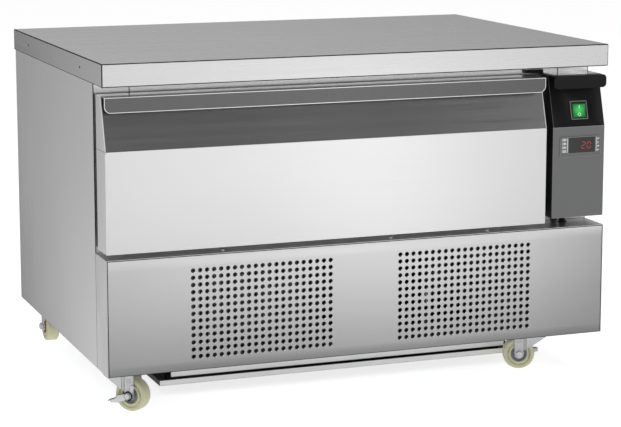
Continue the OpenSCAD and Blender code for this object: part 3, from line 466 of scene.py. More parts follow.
# %% Metals and zinc
zinc = coated("bright_zinc", (0.86, 0.87, 0.88), 0.26, 500, 0.25, 0.08, Metallic=0.45)
bolt_bright = coated("bolt_bright", (0.88, 0.89, 0.90), 0.22, 700, 0.12, 0.05, Metallic=0.35)
galvanised = coated("galvanised_sheet", (0.52, 0.54, 0.56), 0.36, 140, 0.4, 0.05, Metallic=0.7)
copper = coated("drawn_copper", (0.78, 0.38, 0.20), 0.28, 250, 0.35, 0.04, Metallic=1.0)
fins = coated("aluminium_fins", (0.70, 0.71, 0.72), 0.38, 600, 0.15, 0.1, Metallic=1.0)
tray_grey = coated("tray_grey", (0.95, 0.95, 0.95), 0.34, 500, 0.10, 0.05, Metallic=0.1)
print("metals: zinc, galvanised, copper, fins and the tray's strips")

# %% Plastics, rubber, lacquer, foam and board
black_plastic = coated("black_plastic", (0.007, 0.007, 0.007), 0.34, 2200, 0.3, 0.15,
                       Specular_IOR_Level=0.2)
machine_black = coated("machine_black", (0.012, 0.012, 0.012), 0.6, 800, 0.3, 0.2,
                       Specular_IOR_Level=0.2)
bezel_black = coated("bezel_black", (0.022, 0.022, 0.022), 0.30, 1800, 0.2, 0.1)
fascia_lacquer = coated("grey_lacquer", (0.155, 0.157, 0.16), 0.42, 1600, 0.05, 0.08)
case_plastic = coated("case_plastic", (0.145, 0.147, 0.15), 0.34, 2600, 0.08, 0.12)
window_glass = coated("smoked_window", (0.010, 0.009, 0.008), 0.08, 60, 0.02, 0.01,
                      Coat_Weight=0.6)
key_plastic = coated("key_plastic", (0.42, 0.43, 0.44), 0.35, 2200, 0.06, 0.1)
gasket_rubber = coated("dark_seal", (0.012, 0.012, 0.013), 0.55, 900, 0.2, 0.2)
foam_look = coated("rigid_foam", (0.72, 0.62, 0.40), 0.85, 350, 0.4, 0.6, 0.0006)
board_look = coated("core_board", (0.36, 0.25, 0.15), 0.7, 90, 0.5, 0.3)
enamel = coated("black_enamel", (0.010, 0.010, 0.011), 0.25, 300, 0.1, 0.1, Coat_Weight=0.4)
tread = coated("cream_tread", (0.62, 0.61, 0.41), 0.42, 1200, 0.10, 0.08,
               Subsurface_Weight=0.15, Subsurface_Scale=0.004)
hub_grey = coated("grey_hub", (0.28, 0.29, 0.30), 0.45, 1500, 0.12, 0.1)
print("finishes so far:", len(bpy.data.materials))

# %% Prints and lit marks
print_white = coated("print_white", (0.78, 0.79, 0.78), 0.5, 2400, 0.05, 0.05)
mark_green = coated("mark_green", (0.55, 0.85, 0.60), 0.4, 2400, 0.05, 0.05,
                    Emission_Color=(0.5, 0.9, 0.55, 1), Emission_Strength=0.25)
lit_red = coated("lit_red", (0.50, 0.03, 0.03), 0.4, 900, 0.1, 0.02,
                 Emission_Color=(0.80, 0.04, 0.04, 1), Emission_Strength=0.6)
print("marks: white, green and red")

# %% [markdown]
# ## Painted tones of the folds
# A folded edge is a narrow strip that mirrors something else than the sheet beside it, so folds show
# as thin dark or bright lines. Lamps and cards could be moved until each fold mirrors the right
# thing, but that would change the sheets as well. The strips get finishes of their own instead,
# which paint these lines. The steel folds get painted shade and painted reflection, and the zinc
# folds and the rocker's rim get a darker painted shade. The moulded edges of the plastics get a
# lighter painted highlight.

# %% Painted shade and highlight for folds and moulded edges
fold_painted_shade = coated("fold_painted_shade", (0.012, 0.012, 0.012), 0.5, 900, 0.1, 0.05,
                   Specular_IOR_Level=0.15)
fold_painted_highlight = coated("fold_painted_highlight", (0.93, 0.93, 0.93), 0.34, 900, 0.05, 0.05, Metallic=0.2)
# Lighter edges of the black and grey plastics: painted highlight.
black_edge_painted_highlight = coated("black_edge_painted_highlight", (0.10, 0.10, 0.10), 0.30, 900, 0.10, 0.05)
grey_edge_painted_highlight = coated("grey_edge_painted_highlight", (0.34, 0.34, 0.34), 0.30, 900, 0.10, 0.05)
bezel_edge_painted_highlight = coated("bezel_edge_painted_highlight", (0.24, 0.24, 0.23), 0.30, 900, 0.10, 0.05)
# Darker zinc folds and rocker rim: painted shade.
zinc_edge_painted_shade = coated("zinc_edge_painted_shade", (0.12, 0.12, 0.13), 0.34, 900, 0.10, 0.05)
rocker_rim_painted_shade = coated("rocker_rim_painted_shade", (0.004, 0.16, 0.03), 0.25, 2200, 0.05, 0.05)
print("finishes:", len(bpy.data.materials))

# %% [markdown]
# ## Finishes that change with the place, and the tray's painted shade
# The tray is bright along its front rim and dark inside. The dark inside is painted shade, where no
# light comes. The rocker has a small lamp behind it and glows in the middle. Both could be painted
# on a picture, but a distance or a place in Object coordinates does the same and stays sharp at any
# size.

# %% Tray and rocker finishes
# The tray's sheet goes from a pale tone at the front rim to a painted shade inside.
RIM_DEPTH = (-0.1976, -0.1972)
RIM_TONE = 0.95
INSIDE_PAINTED_SHADE = 0.04
ROCKER_LAMP = (0.4435, -0.3430, 0.5230)
LAMP_REACH = (0.002, 0.013)
LAMP_STRENGTH = 0.45

tray_sheet = coated("tray_sheet", (0.5, 0.5, 0.5), 0.32, 500, 0.10, 0.05, Metallic=0.2)
tree = tray_sheet.node_tree
place = split_axes(tree, "ShaderNodeTexCoord", "Object")
shade = grey_ramp(tree, span(tree, place["Y"], *RIM_DEPTH),
                  [(0.0, RIM_TONE), (1.0, INSIDE_PAINTED_SHADE)], "LINEAR")
surface = next(node for node in tree.nodes if node.type == "GROUP")
feed(tree, shade, surface.inputs["Colour"])

rocker_green = coated("rocker_green", (0.008, 0.26, 0.05), 0.25, 2200, 0.05, 0.05)
tree = rocker_green.node_tree
away = add_node(tree, "ShaderNodeVectorMath", operation="DISTANCE")
feed(tree, tree.nodes.new("ShaderNodeTexCoord").outputs["Object"], away.inputs[0])
feed(tree, ROCKER_LAMP, away.inputs[1])
lamp = tree.nodes.new("ShaderNodeValToRGB")
lamp.color_ramp.elements[0].color = (0.10, 0.80, 0.16, 1)
lamp.color_ramp.elements[1].color = (0.0, 0.02, 0.005, 1)
feed(tree, span(tree, away.outputs["Value"], *LAMP_REACH), lamp.inputs["Fac"])
shader = next(node for node in tree.nodes if node.type == "BSDF_PRINCIPLED")
feed(tree, lamp.outputs["Color"], shader.inputs["Emission Color"])
shader.inputs["Emission Strength"].default_value = LAMP_STRENGTH
print("finishes:", len(bpy.data.materials))

# %% [markdown]
# ## Tools for modelling
# A few small helpers keep the cells below short. They do what a hand would do in the viewport: add
# a block at its real size, select faces, edges or corners by where they are, move or round them
# and fix the shading. All the sizes are in millimetres, and most places are read from the frame.

# %% Blocks and selections


def activate(*objects):
    """Selects these objects alone, the last one active."""
    bpy.ops.object.select_all(action="DESELECT")
    for item in objects:
        item.select_set(True)
    bpy.context.view_layer.objects.active = objects[-1]


def settle(piece):
    """Moves a piece's place, turn and scale into its mesh."""
    activate(piece)
    bpy.ops.object.transform_apply(location=True, rotation=True, scale=True)


def put(piece, at, turn=(0, 0, 0)):
    """Moves a piece from the origin to a place and turns it, by degrees about each axis."""
    piece.location = [v * MM for v in at]
    piece.rotation_euler = [math.radians(v) for v in turn]
    settle(piece)


def frame_box(node):
    """The lowest and highest corner of a frame part, to a tenth of a millimetre."""
    low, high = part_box(node)
    return [round(v / MM, 1) for v in low], [round(v / MM, 1) for v in high]


def block(name, low, high):
    """A box between two corners."""
    middle = [(a + b) / 2 * MM for a, b in zip(low, high)]
    bpy.ops.object.select_all(action="DESELECT")
    bpy.ops.mesh.primitive_cube_add(size=1, location=middle)
    piece = bpy.context.object
    piece.name = name
    piece.scale = [(b - a) * MM for a, b in zip(low, high)]
    settle(piece)
    return piece


def duplicate(source, name):
    """A copy with its own mesh."""
    made = source.copy()
    made.data = source.data.copy()
    made.name = name
    bpy.context.collection.objects.link(made)
    return made


def place_of(piece, item):
    """The middle of a corner, edge or face, in millimetres."""
    if hasattr(item, "co"):
        return item.co / MM
    corners = [piece.data.vertices[i].co for i in item.vertices]
    return sum(corners, Vector()) / len(corners) / MM


def pick(piece, kind, test):
    """Opens edit mode with the items whose middle passes the test selected."""
    activate(piece)
    bpy.ops.object.mode_set(mode="EDIT")
    bpy.ops.mesh.select_mode(type=kind)
    bpy.ops.mesh.select_all(action="DESELECT")
    bpy.ops.object.mode_set(mode="OBJECT")
    items = {"VERT": piece.data.vertices, "EDGE": piece.data.edges, "FACE": piece.data.polygons}
    for item in items[kind]:
        item.select = bool(test(place_of(piece, item)))
    bpy.ops.object.mode_set(mode="EDIT")


def close_edit():
    """Leaves edit mode."""
    bpy.ops.object.mode_set(mode="OBJECT")


print("selection helpers are ready")

# %% Edits that come back again and again


def shift(piece, test, by):
    """Moves the corners that pass the test."""
    pick(piece, "VERT", test)
    bpy.ops.transform.translate(value=[v * MM for v in by])
    close_edit()


def squeeze(piece, test, factors, about=(0, 0, 0)):
    """Scales the corners that pass the test about a point."""
    pick(piece, "VERT", test)
    bpy.ops.transform.resize(value=factors, center_override=[v * MM for v in about])
    close_edit()


def bevel_at(piece, test, width, segments):
    """Rounds the edges that pass the test."""
    pick(piece, "EDGE", test)
    bpy.ops.mesh.bevel(offset=width * MM, segments=segments, affect="EDGES")
    close_edit()


def open_up(piece, test):
    """Deletes the faces that pass the test."""
    pick(piece, "FACE", test)
    bpy.ops.mesh.delete(type="FACE")
    close_edit()


def make_ring(piece, test, wide):
    """Insets the two faces that pass the test and bridges them, which leaves a ring."""
    pick(piece, "FACE", test)
    bpy.ops.mesh.inset(thickness=wide * MM)
    bpy.ops.mesh.bridge_edge_loops()
    close_edit()


def extrude_by(by):
    """Extrudes what is selected, in edit mode."""
    bpy.ops.mesh.extrude_region_move(TRANSFORM_OT_translate={"value": [v * MM for v in by]})


def cut(piece, at, normal, trim=False):
    """A straight cut all the way round. A trim takes off the side the normal points to."""
    activate(piece)
    bpy.ops.object.mode_set(mode="EDIT")
    bpy.ops.mesh.select_all(action="SELECT")
    bpy.ops.mesh.bisect(plane_co=[v * MM for v in at], plane_no=normal, use_fill=trim,
                        clear_outer=trim)
    close_edit()


print("edit helpers are ready")

# %% Finishing touches


def apply_modifier(piece, kind, **values):
    """Adds a modifier, sets it and applies it."""
    activate(piece)
    made = piece.modifiers.new(kind.lower(), kind)
    for key, value in values.items():
        setattr(made, key, value)
    bpy.ops.object.modifier_apply(modifier=made.name)


def round_edges(piece, width, segments=3, angle=30):
    """Rounds the sharp edges and evens the shading of the flat faces."""
    apply_modifier(piece, "BEVEL", width=width * MM, segments=segments, limit_method="ANGLE",
                   angle_limit=math.radians(angle), use_clamp_overlap=True)
    activate(piece)
    bpy.ops.object.shade_smooth()
    apply_modifier(piece, "WEIGHTED_NORMAL", keep_sharp=False)


def thicken(piece, amount):
    """Gives a sheet its thickness, inwards from the outer face."""
    apply_modifier(piece, "SOLIDIFY", thickness=amount * MM, offset=-1)


def join(name, *pieces):
    """Joins pieces into one."""
    activate(*pieces)
    bpy.ops.object.join()
    piece = bpy.context.object
    piece.name = name
    return piece


def mark_folds(piece, material, narrowest=1.0, where=lambda at: True):
    """Gives the strips of rounded edges that are narrower than a limit their own material: a painted
    shade or highlight.
    """
    slot = len(piece.data.materials)
    piece.data.materials.append(material)
    points = piece.data.vertices
    for face in piece.data.polygons:
        longest = max((points[a].co - points[b].co).length for a, b in face.edge_keys)
        if face.area / longest < narrowest * MM and where(face.center / MM):
            face.material_index = slot


def register(piece, body, slot, material, *replaced):
    """Gives a piece its material, its body and the nodes that it stands for."""
    piece.data.materials.clear()
    piece.data.materials.append(material)
    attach(piece, body)
    if replaced:
        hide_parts(*replaced)
    print(piece.name, len(piece.data.polygons), "faces")
    return piece


print("finishing helpers are ready")

# %% [markdown]
# ## Worktop
# The worktop is one sheet, folded down on all four sides and back under the board that stiffens
# it. It could be a plane with its edges drawn down one by one, but a block has all four folds at
# once. Its edges are rounded first, as the press brake does. Then the underside is inset and
# opened, and the sheet gets its thickness inwards. In the other order the bevel could be no wider
# than the sheet is thick.

# %% Worktop
WORKTOP_SHEET = 1.4
WORKTOP_FOLD = 1.8
TURNED_UNDER = 28
CUT_EDGE = 0.25
FOLD_STRIP = 1.2

worktop_low, worktop_high = frame_box("worktop_skin")
worktop = block("worktop_sheet", worktop_low, worktop_high)
bevel_at(worktop, lambda at: True, WORKTOP_FOLD, 3)
pick(worktop, "FACE", lambda at: at.z < worktop_low[2] + 0.02)
bpy.ops.mesh.inset(thickness=TURNED_UNDER * MM)
bpy.ops.mesh.delete(type="FACE")
close_edit()
thicken(worktop, WORKTOP_SHEET)
round_edges(worktop, CUT_EDGE, 2, 55)
register(worktop, "cabinet", "stainless_brushed", top_steel, "worktop_skin")
worktop.data.materials.append(edge_steel)
pick(worktop, "FACE", lambda at: abs(at.x) > worktop_high[0] - 0.1)
worktop.active_material_index = 1
bpy.ops.object.material_slot_assign()
close_edit()
# The narrow fold strips get a painted shade: a thin dark line.
mark_folds(worktop, fold_painted_shade, FOLD_STRIP)

# %% [markdown]
# ## Drawer front
# The front is a tray of sheet, upright below a crease and leaning back above it. It could be an
# outline drawn out to its length. Here a block is cut at the crease and its upper edge is moved
# back, because the face and its flanks then lean by the same step. The rear is opened, and the
# sheet gets its thickness inwards. The flanks are separate sheets, split at the crease, so a fine
# joint shows all round.

# %% Drawer face
SHEET = 1.2
CREASE = 493
LEAN_BACK = 29
DRAWER_FOLD = 1.0

(drawer_left, drawer_front, drawer_foot), (drawer_right, drawer_back, drawer_top) = frame_box(
    "drawer_end_caps")


def lean(piece):
    """Moves the upper front edge back, so the face leans above the crease."""
    shift(piece, lambda at: at.y < drawer_front + 0.1 and at.z > drawer_top - 0.5,
          (0, LEAN_BACK, 0))


drawer_face = block("drawer_face", (drawer_left + SHEET, drawer_front, drawer_foot),
                    (drawer_right - SHEET, drawer_back, drawer_top))
cut(drawer_face, (0, 0, CREASE), (0, 0, 1))
lean(drawer_face)
open_up(drawer_face, lambda at: at.y > drawer_back - 0.1)
thicken(drawer_face, SHEET)
round_edges(drawer_face, DRAWER_FOLD, 3, 12)
register(drawer_face, "drawer", "stainless_brushed", front_steel, "drawer_front_skin")
# The narrow fold strips get a painted highlight: a thin bright line.
mark_folds(drawer_face, fold_painted_highlight)

# %% Drawer flanks
HALF_JOINT = 0.5

flanks = []
for side, x in (("left", drawer_left), ("right", drawer_right - SHEET)):
    lower = block("flank_lower_" + side, (x, drawer_front, drawer_foot),
                  (x + SHEET, drawer_back, CREASE - HALF_JOINT))
    upper = block("flank_upper_" + side, (x, drawer_front, CREASE + HALF_JOINT),
                  (x + SHEET, drawer_back, drawer_top))
    lean(upper)
    for part in (lower, upper):
        round_edges(part, DRAWER_FOLD, 2)
        flanks.append(part)
drawer_flanks = join("drawer_flanks", *flanks)
register(drawer_flanks, "drawer", "stainless_brushed", side_steel, "drawer_end_caps")
# The narrow fold strips get a painted highlight: a thin bright line.
mark_folds(drawer_flanks, fold_painted_highlight)

# %% [markdown]
# ## Handle lip
# A strip is hooked over the top of the leaning face, so that fingers reach behind it. Its lower
# corners are round, and its lower edge is hemmed: that edge catches a bright line. The line could
# be a thin bent wire, but a hem has the strip's own outline, so it is cut from a copy of it.

# %% Handle lip
LIP_LEFT = -495.5
LIP_CORNER = 12
HEM_WIDE = 1.3
HEM_PROUD = 0.3
HOOK_SHEET = 1.5

(_, lip_front, lip_foot), (lip_right, lip_back, lip_top) = frame_box("drawer_handle_lip")
strip_front = lip_front + HEM_PROUD
strip_back = strip_front + SHEET
strip_mid = (strip_front + strip_back) / 2
lip = block("handle_lip", (LIP_LEFT, strip_front, lip_foot), (lip_right, strip_back, lip_top))
bevel_at(lip, lambda at: abs(at.z - lip_foot) < 0.1 and abs(at.y - strip_mid) < 0.1,
         LIP_CORNER, 10)
pick(lip, "FACE", lambda at: at.y < strip_front + 0.05)
bpy.ops.mesh.inset(thickness=HEM_WIDE * MM)
close_edit()
print("lip", len(lip.data.polygons), "faces")

# %% The hem round the lip, as a sheet of its own
hem = duplicate(lip, "handle_hem")
pick(hem, "FACE", lambda at: False)
close_edit()
for polygon in hem.data.polygons:
    middle_face = len(polygon.vertices) > 8
    polygon.select = polygon.normal.y > -0.9 or middle_face
bpy.ops.object.mode_set(mode="EDIT")
bpy.ops.mesh.delete(type="FACE")
bpy.ops.mesh.select_all(action="SELECT")
extrude_by((0, -HEM_PROUD, 0))
bpy.ops.mesh.select_all(action="SELECT")
bpy.ops.mesh.normals_make_consistent(inside=False)
close_edit()
round_edges(hem, 0.12, 2)
hook = block("hook", (LIP_LEFT, strip_back, lip_top - HOOK_SHEET), (lip_right, lip_back, lip_top))
lip = join("handle_lip", hook, lip)
# The lip's dark steel is painted shade.
register(lip, "drawer", "lip_dark", lip_painted_shade_steel, "drawer_handle_lip")
register(hem, "drawer", "stainless_brushed", hem_steel)

# %% [markdown]
# ## Perforated base panel
# Two fields of punched holes let the air through, 21 across and 13 up. Cutting 546 holes with a
# Boolean would be slow and would leave a ragged mesh. One cell is modelled instead: a square of
# sheet, bridged to a round hole whose rim is drawn in by the punch. Two Array modifiers repeat it,
# and the plain sheet grows out of the field's rim.

# %% One cell with its hole
PITCH = 13.3
HOLE_R = 4.0
DRAWN_IN = 0.35
COLUMNS = 21
ROWS = 13
GRILLE_X = 203
GRILLE_Z = 190

rim_r = HOLE_R + DRAWN_IN
shrink = HOLE_R / rim_r


def is_hole(at):
    """True for a corner on the circle in the middle of a cell at the origin."""
    return math.hypot(at.x, at.z) < rim_r + 0.1


bpy.ops.object.select_all(action="DESELECT")
bpy.ops.mesh.primitive_grid_add(x_subdivisions=4, y_subdivisions=4, size=PITCH * MM,
                                rotation=(math.pi / 2, 0, 0))
base_panel = bpy.context.object
base_panel.name = "base_front"
settle(base_panel)
pick(base_panel, "VERT", lambda at: max(abs(at.x), abs(at.z)) < PITCH / 2 - 0.1)
bpy.ops.mesh.delete(type="VERT")
bpy.ops.mesh.primitive_circle_add(vertices=16, radius=rim_r * MM, rotation=(math.pi / 2, 0, 0))
bpy.ops.mesh.select_all(action="SELECT")
bpy.ops.mesh.bridge_edge_loops()
bpy.ops.mesh.normals_make_consistent(inside=False)
bpy.ops.mesh.select_all(action="SELECT")
bpy.ops.mesh.duplicate()
bpy.ops.transform.translate(value=(0, SHEET * MM, 0))
bpy.ops.mesh.flip_normals()
close_edit()
squeeze(base_panel, lambda at: is_hole(at) and at.y > 1, (shrink, 1, shrink), (0, SHEET, 0))
pick(base_panel, "VERT", lambda at: is_hole(at) and at.y < 0.1)
extrude_by((0, DRAWN_IN, 0))
bpy.ops.transform.resize(value=(shrink, 1, shrink), center_override=(0, DRAWN_IN * MM, 0))
extrude_by((0, SHEET - DRAWN_IN, 0))
bpy.ops.mesh.select_all(action="SELECT")
bpy.ops.mesh.remove_doubles(threshold=0.00001)
close_edit()
print("cell", len(base_panel.data.vertices), "corners", len(base_panel.data.polygons), "faces")

# %% The field of cells
(_, panel_front, panel_foot), (panel_right, panel_back, panel_top) = frame_box("base_front_panel")
half_field = (COLUMNS / 2 * PITCH, ROWS / 2 * PITCH)

put(base_panel, (-GRILLE_X - half_field[0] + PITCH / 2, panel_front,
                 GRILLE_Z - half_field[1] + PITCH / 2))
for count, step in ((COLUMNS, (PITCH * MM, 0, 0)), (ROWS, (0, 0, PITCH * MM))):
    apply_modifier(base_panel, "ARRAY", count=count, use_relative_offset=False,
                   use_constant_offset=True, constant_offset_displace=step,
                   use_merge_vertices=True, merge_threshold=0.00002)
print("field", len(base_panel.data.polygons), "faces")

# %% The plain sheet around it


def grow(test, axis, outer, inner):
    """Draws the rim of both faces of the sheet out to a limit, the back face to its own."""
    for front_face, limit in ((True, outer), (False, inner)):
        pick(base_panel, "VERT",
             lambda at: test(at) and (at.y < panel_front + 0.1) == front_face
             and (at.y < panel_front + 0.1 or at.y > panel_front + SHEET - 0.01))
        bpy.ops.mesh.extrude_region_move()
        close_edit()
        now = [place_of(base_panel, v)[axis] for v in base_panel.data.vertices if v.select][0]
        bpy.ops.object.mode_set(mode="EDIT")
        step = [0, 0, 0]
        step[axis] = (limit - now) * MM
        bpy.ops.transform.translate(value=step)
        close_edit()


def on_line(axis, at_value):
    """A test for what lies at one value along an axis."""
    return lambda at: abs(at[axis] - at_value) < 0.05


grow(on_line(2, GRILLE_Z + half_field[1]), 2, panel_top, panel_top - SHEET)
grow(on_line(2, GRILLE_Z - half_field[1]), 2, panel_foot, panel_foot + SHEET)
grow(on_line(0, -GRILLE_X - half_field[0]), 0, -panel_right, -panel_right + SHEET)
grow(on_line(0, -GRILLE_X + half_field[0]), 0, 0, 0)
apply_modifier(base_panel, "MIRROR", use_mirror_merge=True, merge_threshold=0.00001)
print("panel", len(base_panel.data.polygons), "faces")

# %% The folded returns of the panel
PANEL_FOLD = 1.4
panel_return = panel_back - panel_front


def on_rim(at, front_face):
    """True on the outer edge of one face of the sheet."""
    away = 0 if front_face else SHEET
    if abs(at.y - panel_front - away) > 0.05:
        return False
    return (abs(abs(at.x) - panel_right + away) < 0.05 or abs(at.z - panel_foot - away) < 0.05
            or abs(at.z - panel_top + away) < 0.05)


for front_face, depth in ((True, panel_return), (False, panel_return - SHEET)):
    pick(base_panel, "EDGE", lambda at: on_rim(at, front_face))
    extrude_by((0, depth, 0))
    close_edit()
pick(base_panel, "EDGE", on_line(1, panel_back))
bpy.ops.mesh.bridge_edge_loops()
close_edit()
bevel_at(base_panel, lambda at: on_rim(at, True), PANEL_FOLD, 3)
activate(base_panel)
bpy.ops.object.mode_set(mode="EDIT")
bpy.ops.mesh.select_all(action="SELECT")
bpy.ops.mesh.normals_make_consistent(inside=False)
close_edit()
bpy.ops.object.shade_smooth_by_angle(angle=math.radians(35))
register(base_panel, "cabinet", "stainless_brushed", base_steel, "base_front_panel")
# The folds round the rim get a painted shade: a thin dark line.
mark_folds(base_panel, fold_painted_shade, FOLD_STRIP, lambda at: abs(at.x) > panel_right - 2
           or at.z < panel_foot + 2 or at.z > panel_top - 2)

# %% [markdown]
# ## Dressing the frame parts
# Panels whose shape is right keep their frame part. The finishes could be set one by one in the
# viewport, but a list keeps them together. It also has the parts that other cells make again, so
# that none is left bare if it is looked at alone.

# %% Finishes of the frame parts
CORNERS = ("front_left", "front_right", "rear_left", "rear_right")
KEYS = tuple("thermostat_key_%d" % number for number in range(1, 5))
SLIDES = ("slide_cabinet_members", "slide_middle_left", "slide_middle_right",
          "slide_drawer_members")

dresses = (
    (side_steel, ("side_panel_left", "side_panel_right", "back_panel")),
    (frame_steel, ("front_frame",)),
    (ledge_steel, ("base_surround",)),
    (plain_steel, ("inner_liner", "drawer_inner_panel", "drawer_tub", "evaporator_cover")),
    (zinc, SLIDES + ("caster_plates", "screws", "brake_lever_left", "brake_lever_right")),
    (zinc, tuple("caster_fork_" + corner for corner in CORNERS)),
    (galvanised, ("base_floor", "body_skins", "condenser_fan_frame")),
    (tray_sheet, ("machine_tray",)),
    (tray_grey, ("tray_baffle",)),
    (bezel_black, ("switch_bezel",)),
    (black_plastic, ("control_housing", "control_cap", "cable_glands", "evaporator_fan_frame",
                     "evaporator_fan_rotor", "condenser_fan_rotor")),
    (fascia_lacquer, ("control_fascia",)),
    (case_plastic, ("thermostat_case",)),
    (window_glass, ("thermostat_window",)),
    (key_plastic, KEYS),
    (gasket_rubber, ("drawer_gasket",)),
    (foam_look, ("insulation", "drawer_core")),
    (board_look, ("worktop_core",)),
    (copper, ("refrigerant_pipes", "filter_drier")),
    (enamel, ("compressor", "compressor_feet")),
    (fins, ("evaporator_coil", "condenser_coil")),
    (rocker_green, ("switch_rocker",)),
    (tread, tuple("caster_wheel_" + corner for corner in CORNERS)),
)
for material, names in dresses:
    for name in names:
        slots = nodes[name].data.materials
        slots.clear()
        slots.append(material)
print("dressed parts:", sum(len(names) for material, names in dresses))

# %% [markdown]
# ## Casters
# Each caster is a pressed fork on a swivel head, with a cream wheel on a grey hub. The fork could
# be folded up from one flat outline, but its legs, web and bridge are simpler to shape one by one.
# One caster is modelled at the origin, trailing towards +X, and copied to the four corners. A leg
# starts as a disc at the axle whose upper half is pulled up to the crown and flattened, which
# leaves a round end. A web trimmed at a slant steps out round the swivel head, and a bent plate
# ties both legs.

# %% Places and sizes of the casters
TRAIL = 25
CROWN_DROP = 4
CASTER_SPOTS = {
    "front_left": (-448, -258, -45),
    "front_right": (392, -258, 160),
    "rear_left": (-448, 274, 90),
    "rear_right": (392, 274, 150),
}

wheel_r = frame_box("caster_wheel_front_left")[1][2] / 2
axle_z = wheel_r
crown_z = frame_box("caster_fork_front_left")[1][2] - CROWN_DROP


def copy_to(source, name, spot):
    """A copy with its own mesh, turned about the swivel axis and moved to a corner."""
    x, y, turn = spot
    made = duplicate(source, name)
    put(made, (x, y, 0), (0, 0, turn))
    return made


def disc(name, radius, low, high, sides=48, at=(TRAIL, axle_z)):
    """A cylinder along Y, between two places on its axis."""
    bpy.ops.object.select_all(action="DESELECT")
    bpy.ops.mesh.primitive_cylinder_add(
        vertices=sides, radius=radius * MM, depth=(high - low) * MM,
        location=(at[0] * MM, (low + high) / 2 * MM, at[1] * MM), rotation=(math.pi / 2, 0, 0))
    piece = bpy.context.object
    piece.name = name
    settle(piece)
    return piece


def on_axle(at):
    """True for the middle of a disc's end face."""
    return abs(at.x - TRAIL) < 0.1 and abs(at.z - axle_z) < 0.1


print("wheel radius", wheel_r, "crown at", crown_z)

# %% The two legs of the fork
LEG_IN = 14.0
LEG_OUT = 16.5
LEG_R = 9.4
LEG_PULL = 44
WEB_X = (-27, 15.55)
WEB_FOOT = 30
WEB_BEND = 11.5
WEB_STEP = 2.9
SLANT_FROM = (WEB_X[0], 0, 66)
SLANT_WAY = (-0.55, 0, -0.835)
WEB_TRIM = 38.5
fork_top = crown_z + 1


def make_leg(side):
    """One leg: a strip with a round end, and a web that steps outwards round the swivel head."""
    low, high = sorted((side * LEG_IN, side * LEG_OUT))
    strip = disc("strip", LEG_R, low, high, 40)
    pick(strip, "VERT", lambda at: at.z > axle_z + 0.1)
    bpy.ops.transform.translate(value=(0, 0, LEG_PULL * MM))
    bpy.ops.transform.resize(value=(1, 1, 0), center_override=(TRAIL * MM, 0, fork_top * MM))
    close_edit()
    web = block("web", (WEB_X[0], low, WEB_FOOT), (WEB_X[1], high, fork_top))
    cut(web, (WEB_BEND, 0, 0), (1, 0, 0))
    shift(web, lambda at: at.x < WEB_BEND + 0.1, (0, side * WEB_STEP, 0))
    cut(web, SLANT_FROM, SLANT_WAY, trim=True)
    cut(web, (0, 0, WEB_TRIM), (0, 0, -1), trim=True)
    round_edges(web, 0.5, 2)
    round_edges(strip, 0.7, 3)
    return [web, strip]


leg_parts = make_leg(-1) + make_leg(1)
print("leg parts:", len(leg_parts))

# %% Bridge, swivel crown and pressed ribs
BRIDGE_SHEET = 2.5
BRIDGE_TO = 34
CROWN_R = 23
CROWN_HIGH = 4
RIB_X = (20, 30)
RIB_Z = (60, 55)
RIB_TALL = 2.2
RIB_Y = (LEG_OUT - 0.2, LEG_OUT + 0.45)

bridge = block("bridge", (WEB_X[0], -LEG_OUT, fork_top - BRIDGE_SHEET),
               (BRIDGE_TO, LEG_OUT, fork_top))
for bend in (WEB_BEND, WEB_BEND + 4):
    cut(bridge, (bend, 0, 0), (1, 0, 0))
squeeze(bridge, lambda at: at.x < WEB_BEND + 0.1, (1, (LEG_OUT + WEB_STEP) / LEG_OUT, 1))
round_edges(bridge, 0.8, 2)
bpy.ops.object.select_all(action="DESELECT")
bpy.ops.mesh.primitive_cylinder_add(vertices=48, radius=CROWN_R * MM, depth=CROWN_HIGH * MM,
                                    location=(0, 0, (crown_z + CROWN_HIGH / 2) * MM))
crown = bpy.context.object
settle(crown)
pick(crown, "FACE", lambda at: at.z > crown_z + CROWN_HIGH - 0.1)
bpy.ops.mesh.inset(thickness=0.004)
bpy.ops.transform.translate(value=(0, 0, -0.0008))
close_edit()
round_edges(crown, 0.8, 3)
ribs = []
for side in (-1, 1):
    for z in RIB_Z:
        low, high = sorted(side * y for y in RIB_Y)
        rib = block("pressed_rib", (RIB_X[0], low, z), (RIB_X[1], high, z + RIB_TALL))
        round_edges(rib, 0.4, 2)
        ribs.append(rib)
fork = join("fork", *leg_parts, bridge, *ribs, crown)
print("fork", len(fork.data.polygons), "faces")

# %% Axle bolt, nut and washers
BOLT_R = 7.2
SHANK_R = 4
HEAD_HIGH = 5
NUT_AT = 16.9
HEAD_AT = {"braked": -19.4, "plain": -17.2}
WASHER_TO = {"braked": -18.7, "plain": -16.55}
WASHER_R = 8.8
WASHER_WIDE = 4.5


def step_face(thickness, by):
    """Insets the selected face and moves it along the axle, in edit mode."""
    bpy.ops.mesh.inset(thickness=thickness * MM)
    bpy.ops.transform.translate(value=(0, by * MM, 0))


def make_bolt(head_at, nut_at):
    """A hex head outside one leg and a nut outside the other, with the shank between."""
    head = disc("head", BOLT_R, head_at - HEAD_HIGH, head_at, 6)
    pick(head, "FACE", lambda at: at.y < head_at - HEAD_HIGH + 0.1)
    step_face(1.2, -0.4)
    step_face(1.5, 0.7)
    close_edit()
    round_edges(head, 0.35, 2)
    nut = disc("nut", BOLT_R, nut_at, nut_at + HEAD_HIGH, 6)
    pick(nut, "FACE", lambda at: at.y > nut_at + HEAD_HIGH - 0.1)
    step_face(2.4, 1.2)
    close_edit()
    round_edges(nut, 0.35, 2)
    shank = disc("shank", SHANK_R, head_at, nut_at, 24)
    round_edges(shank, 0.2, 2)
    return join("axle_bolt", head, nut, shank)


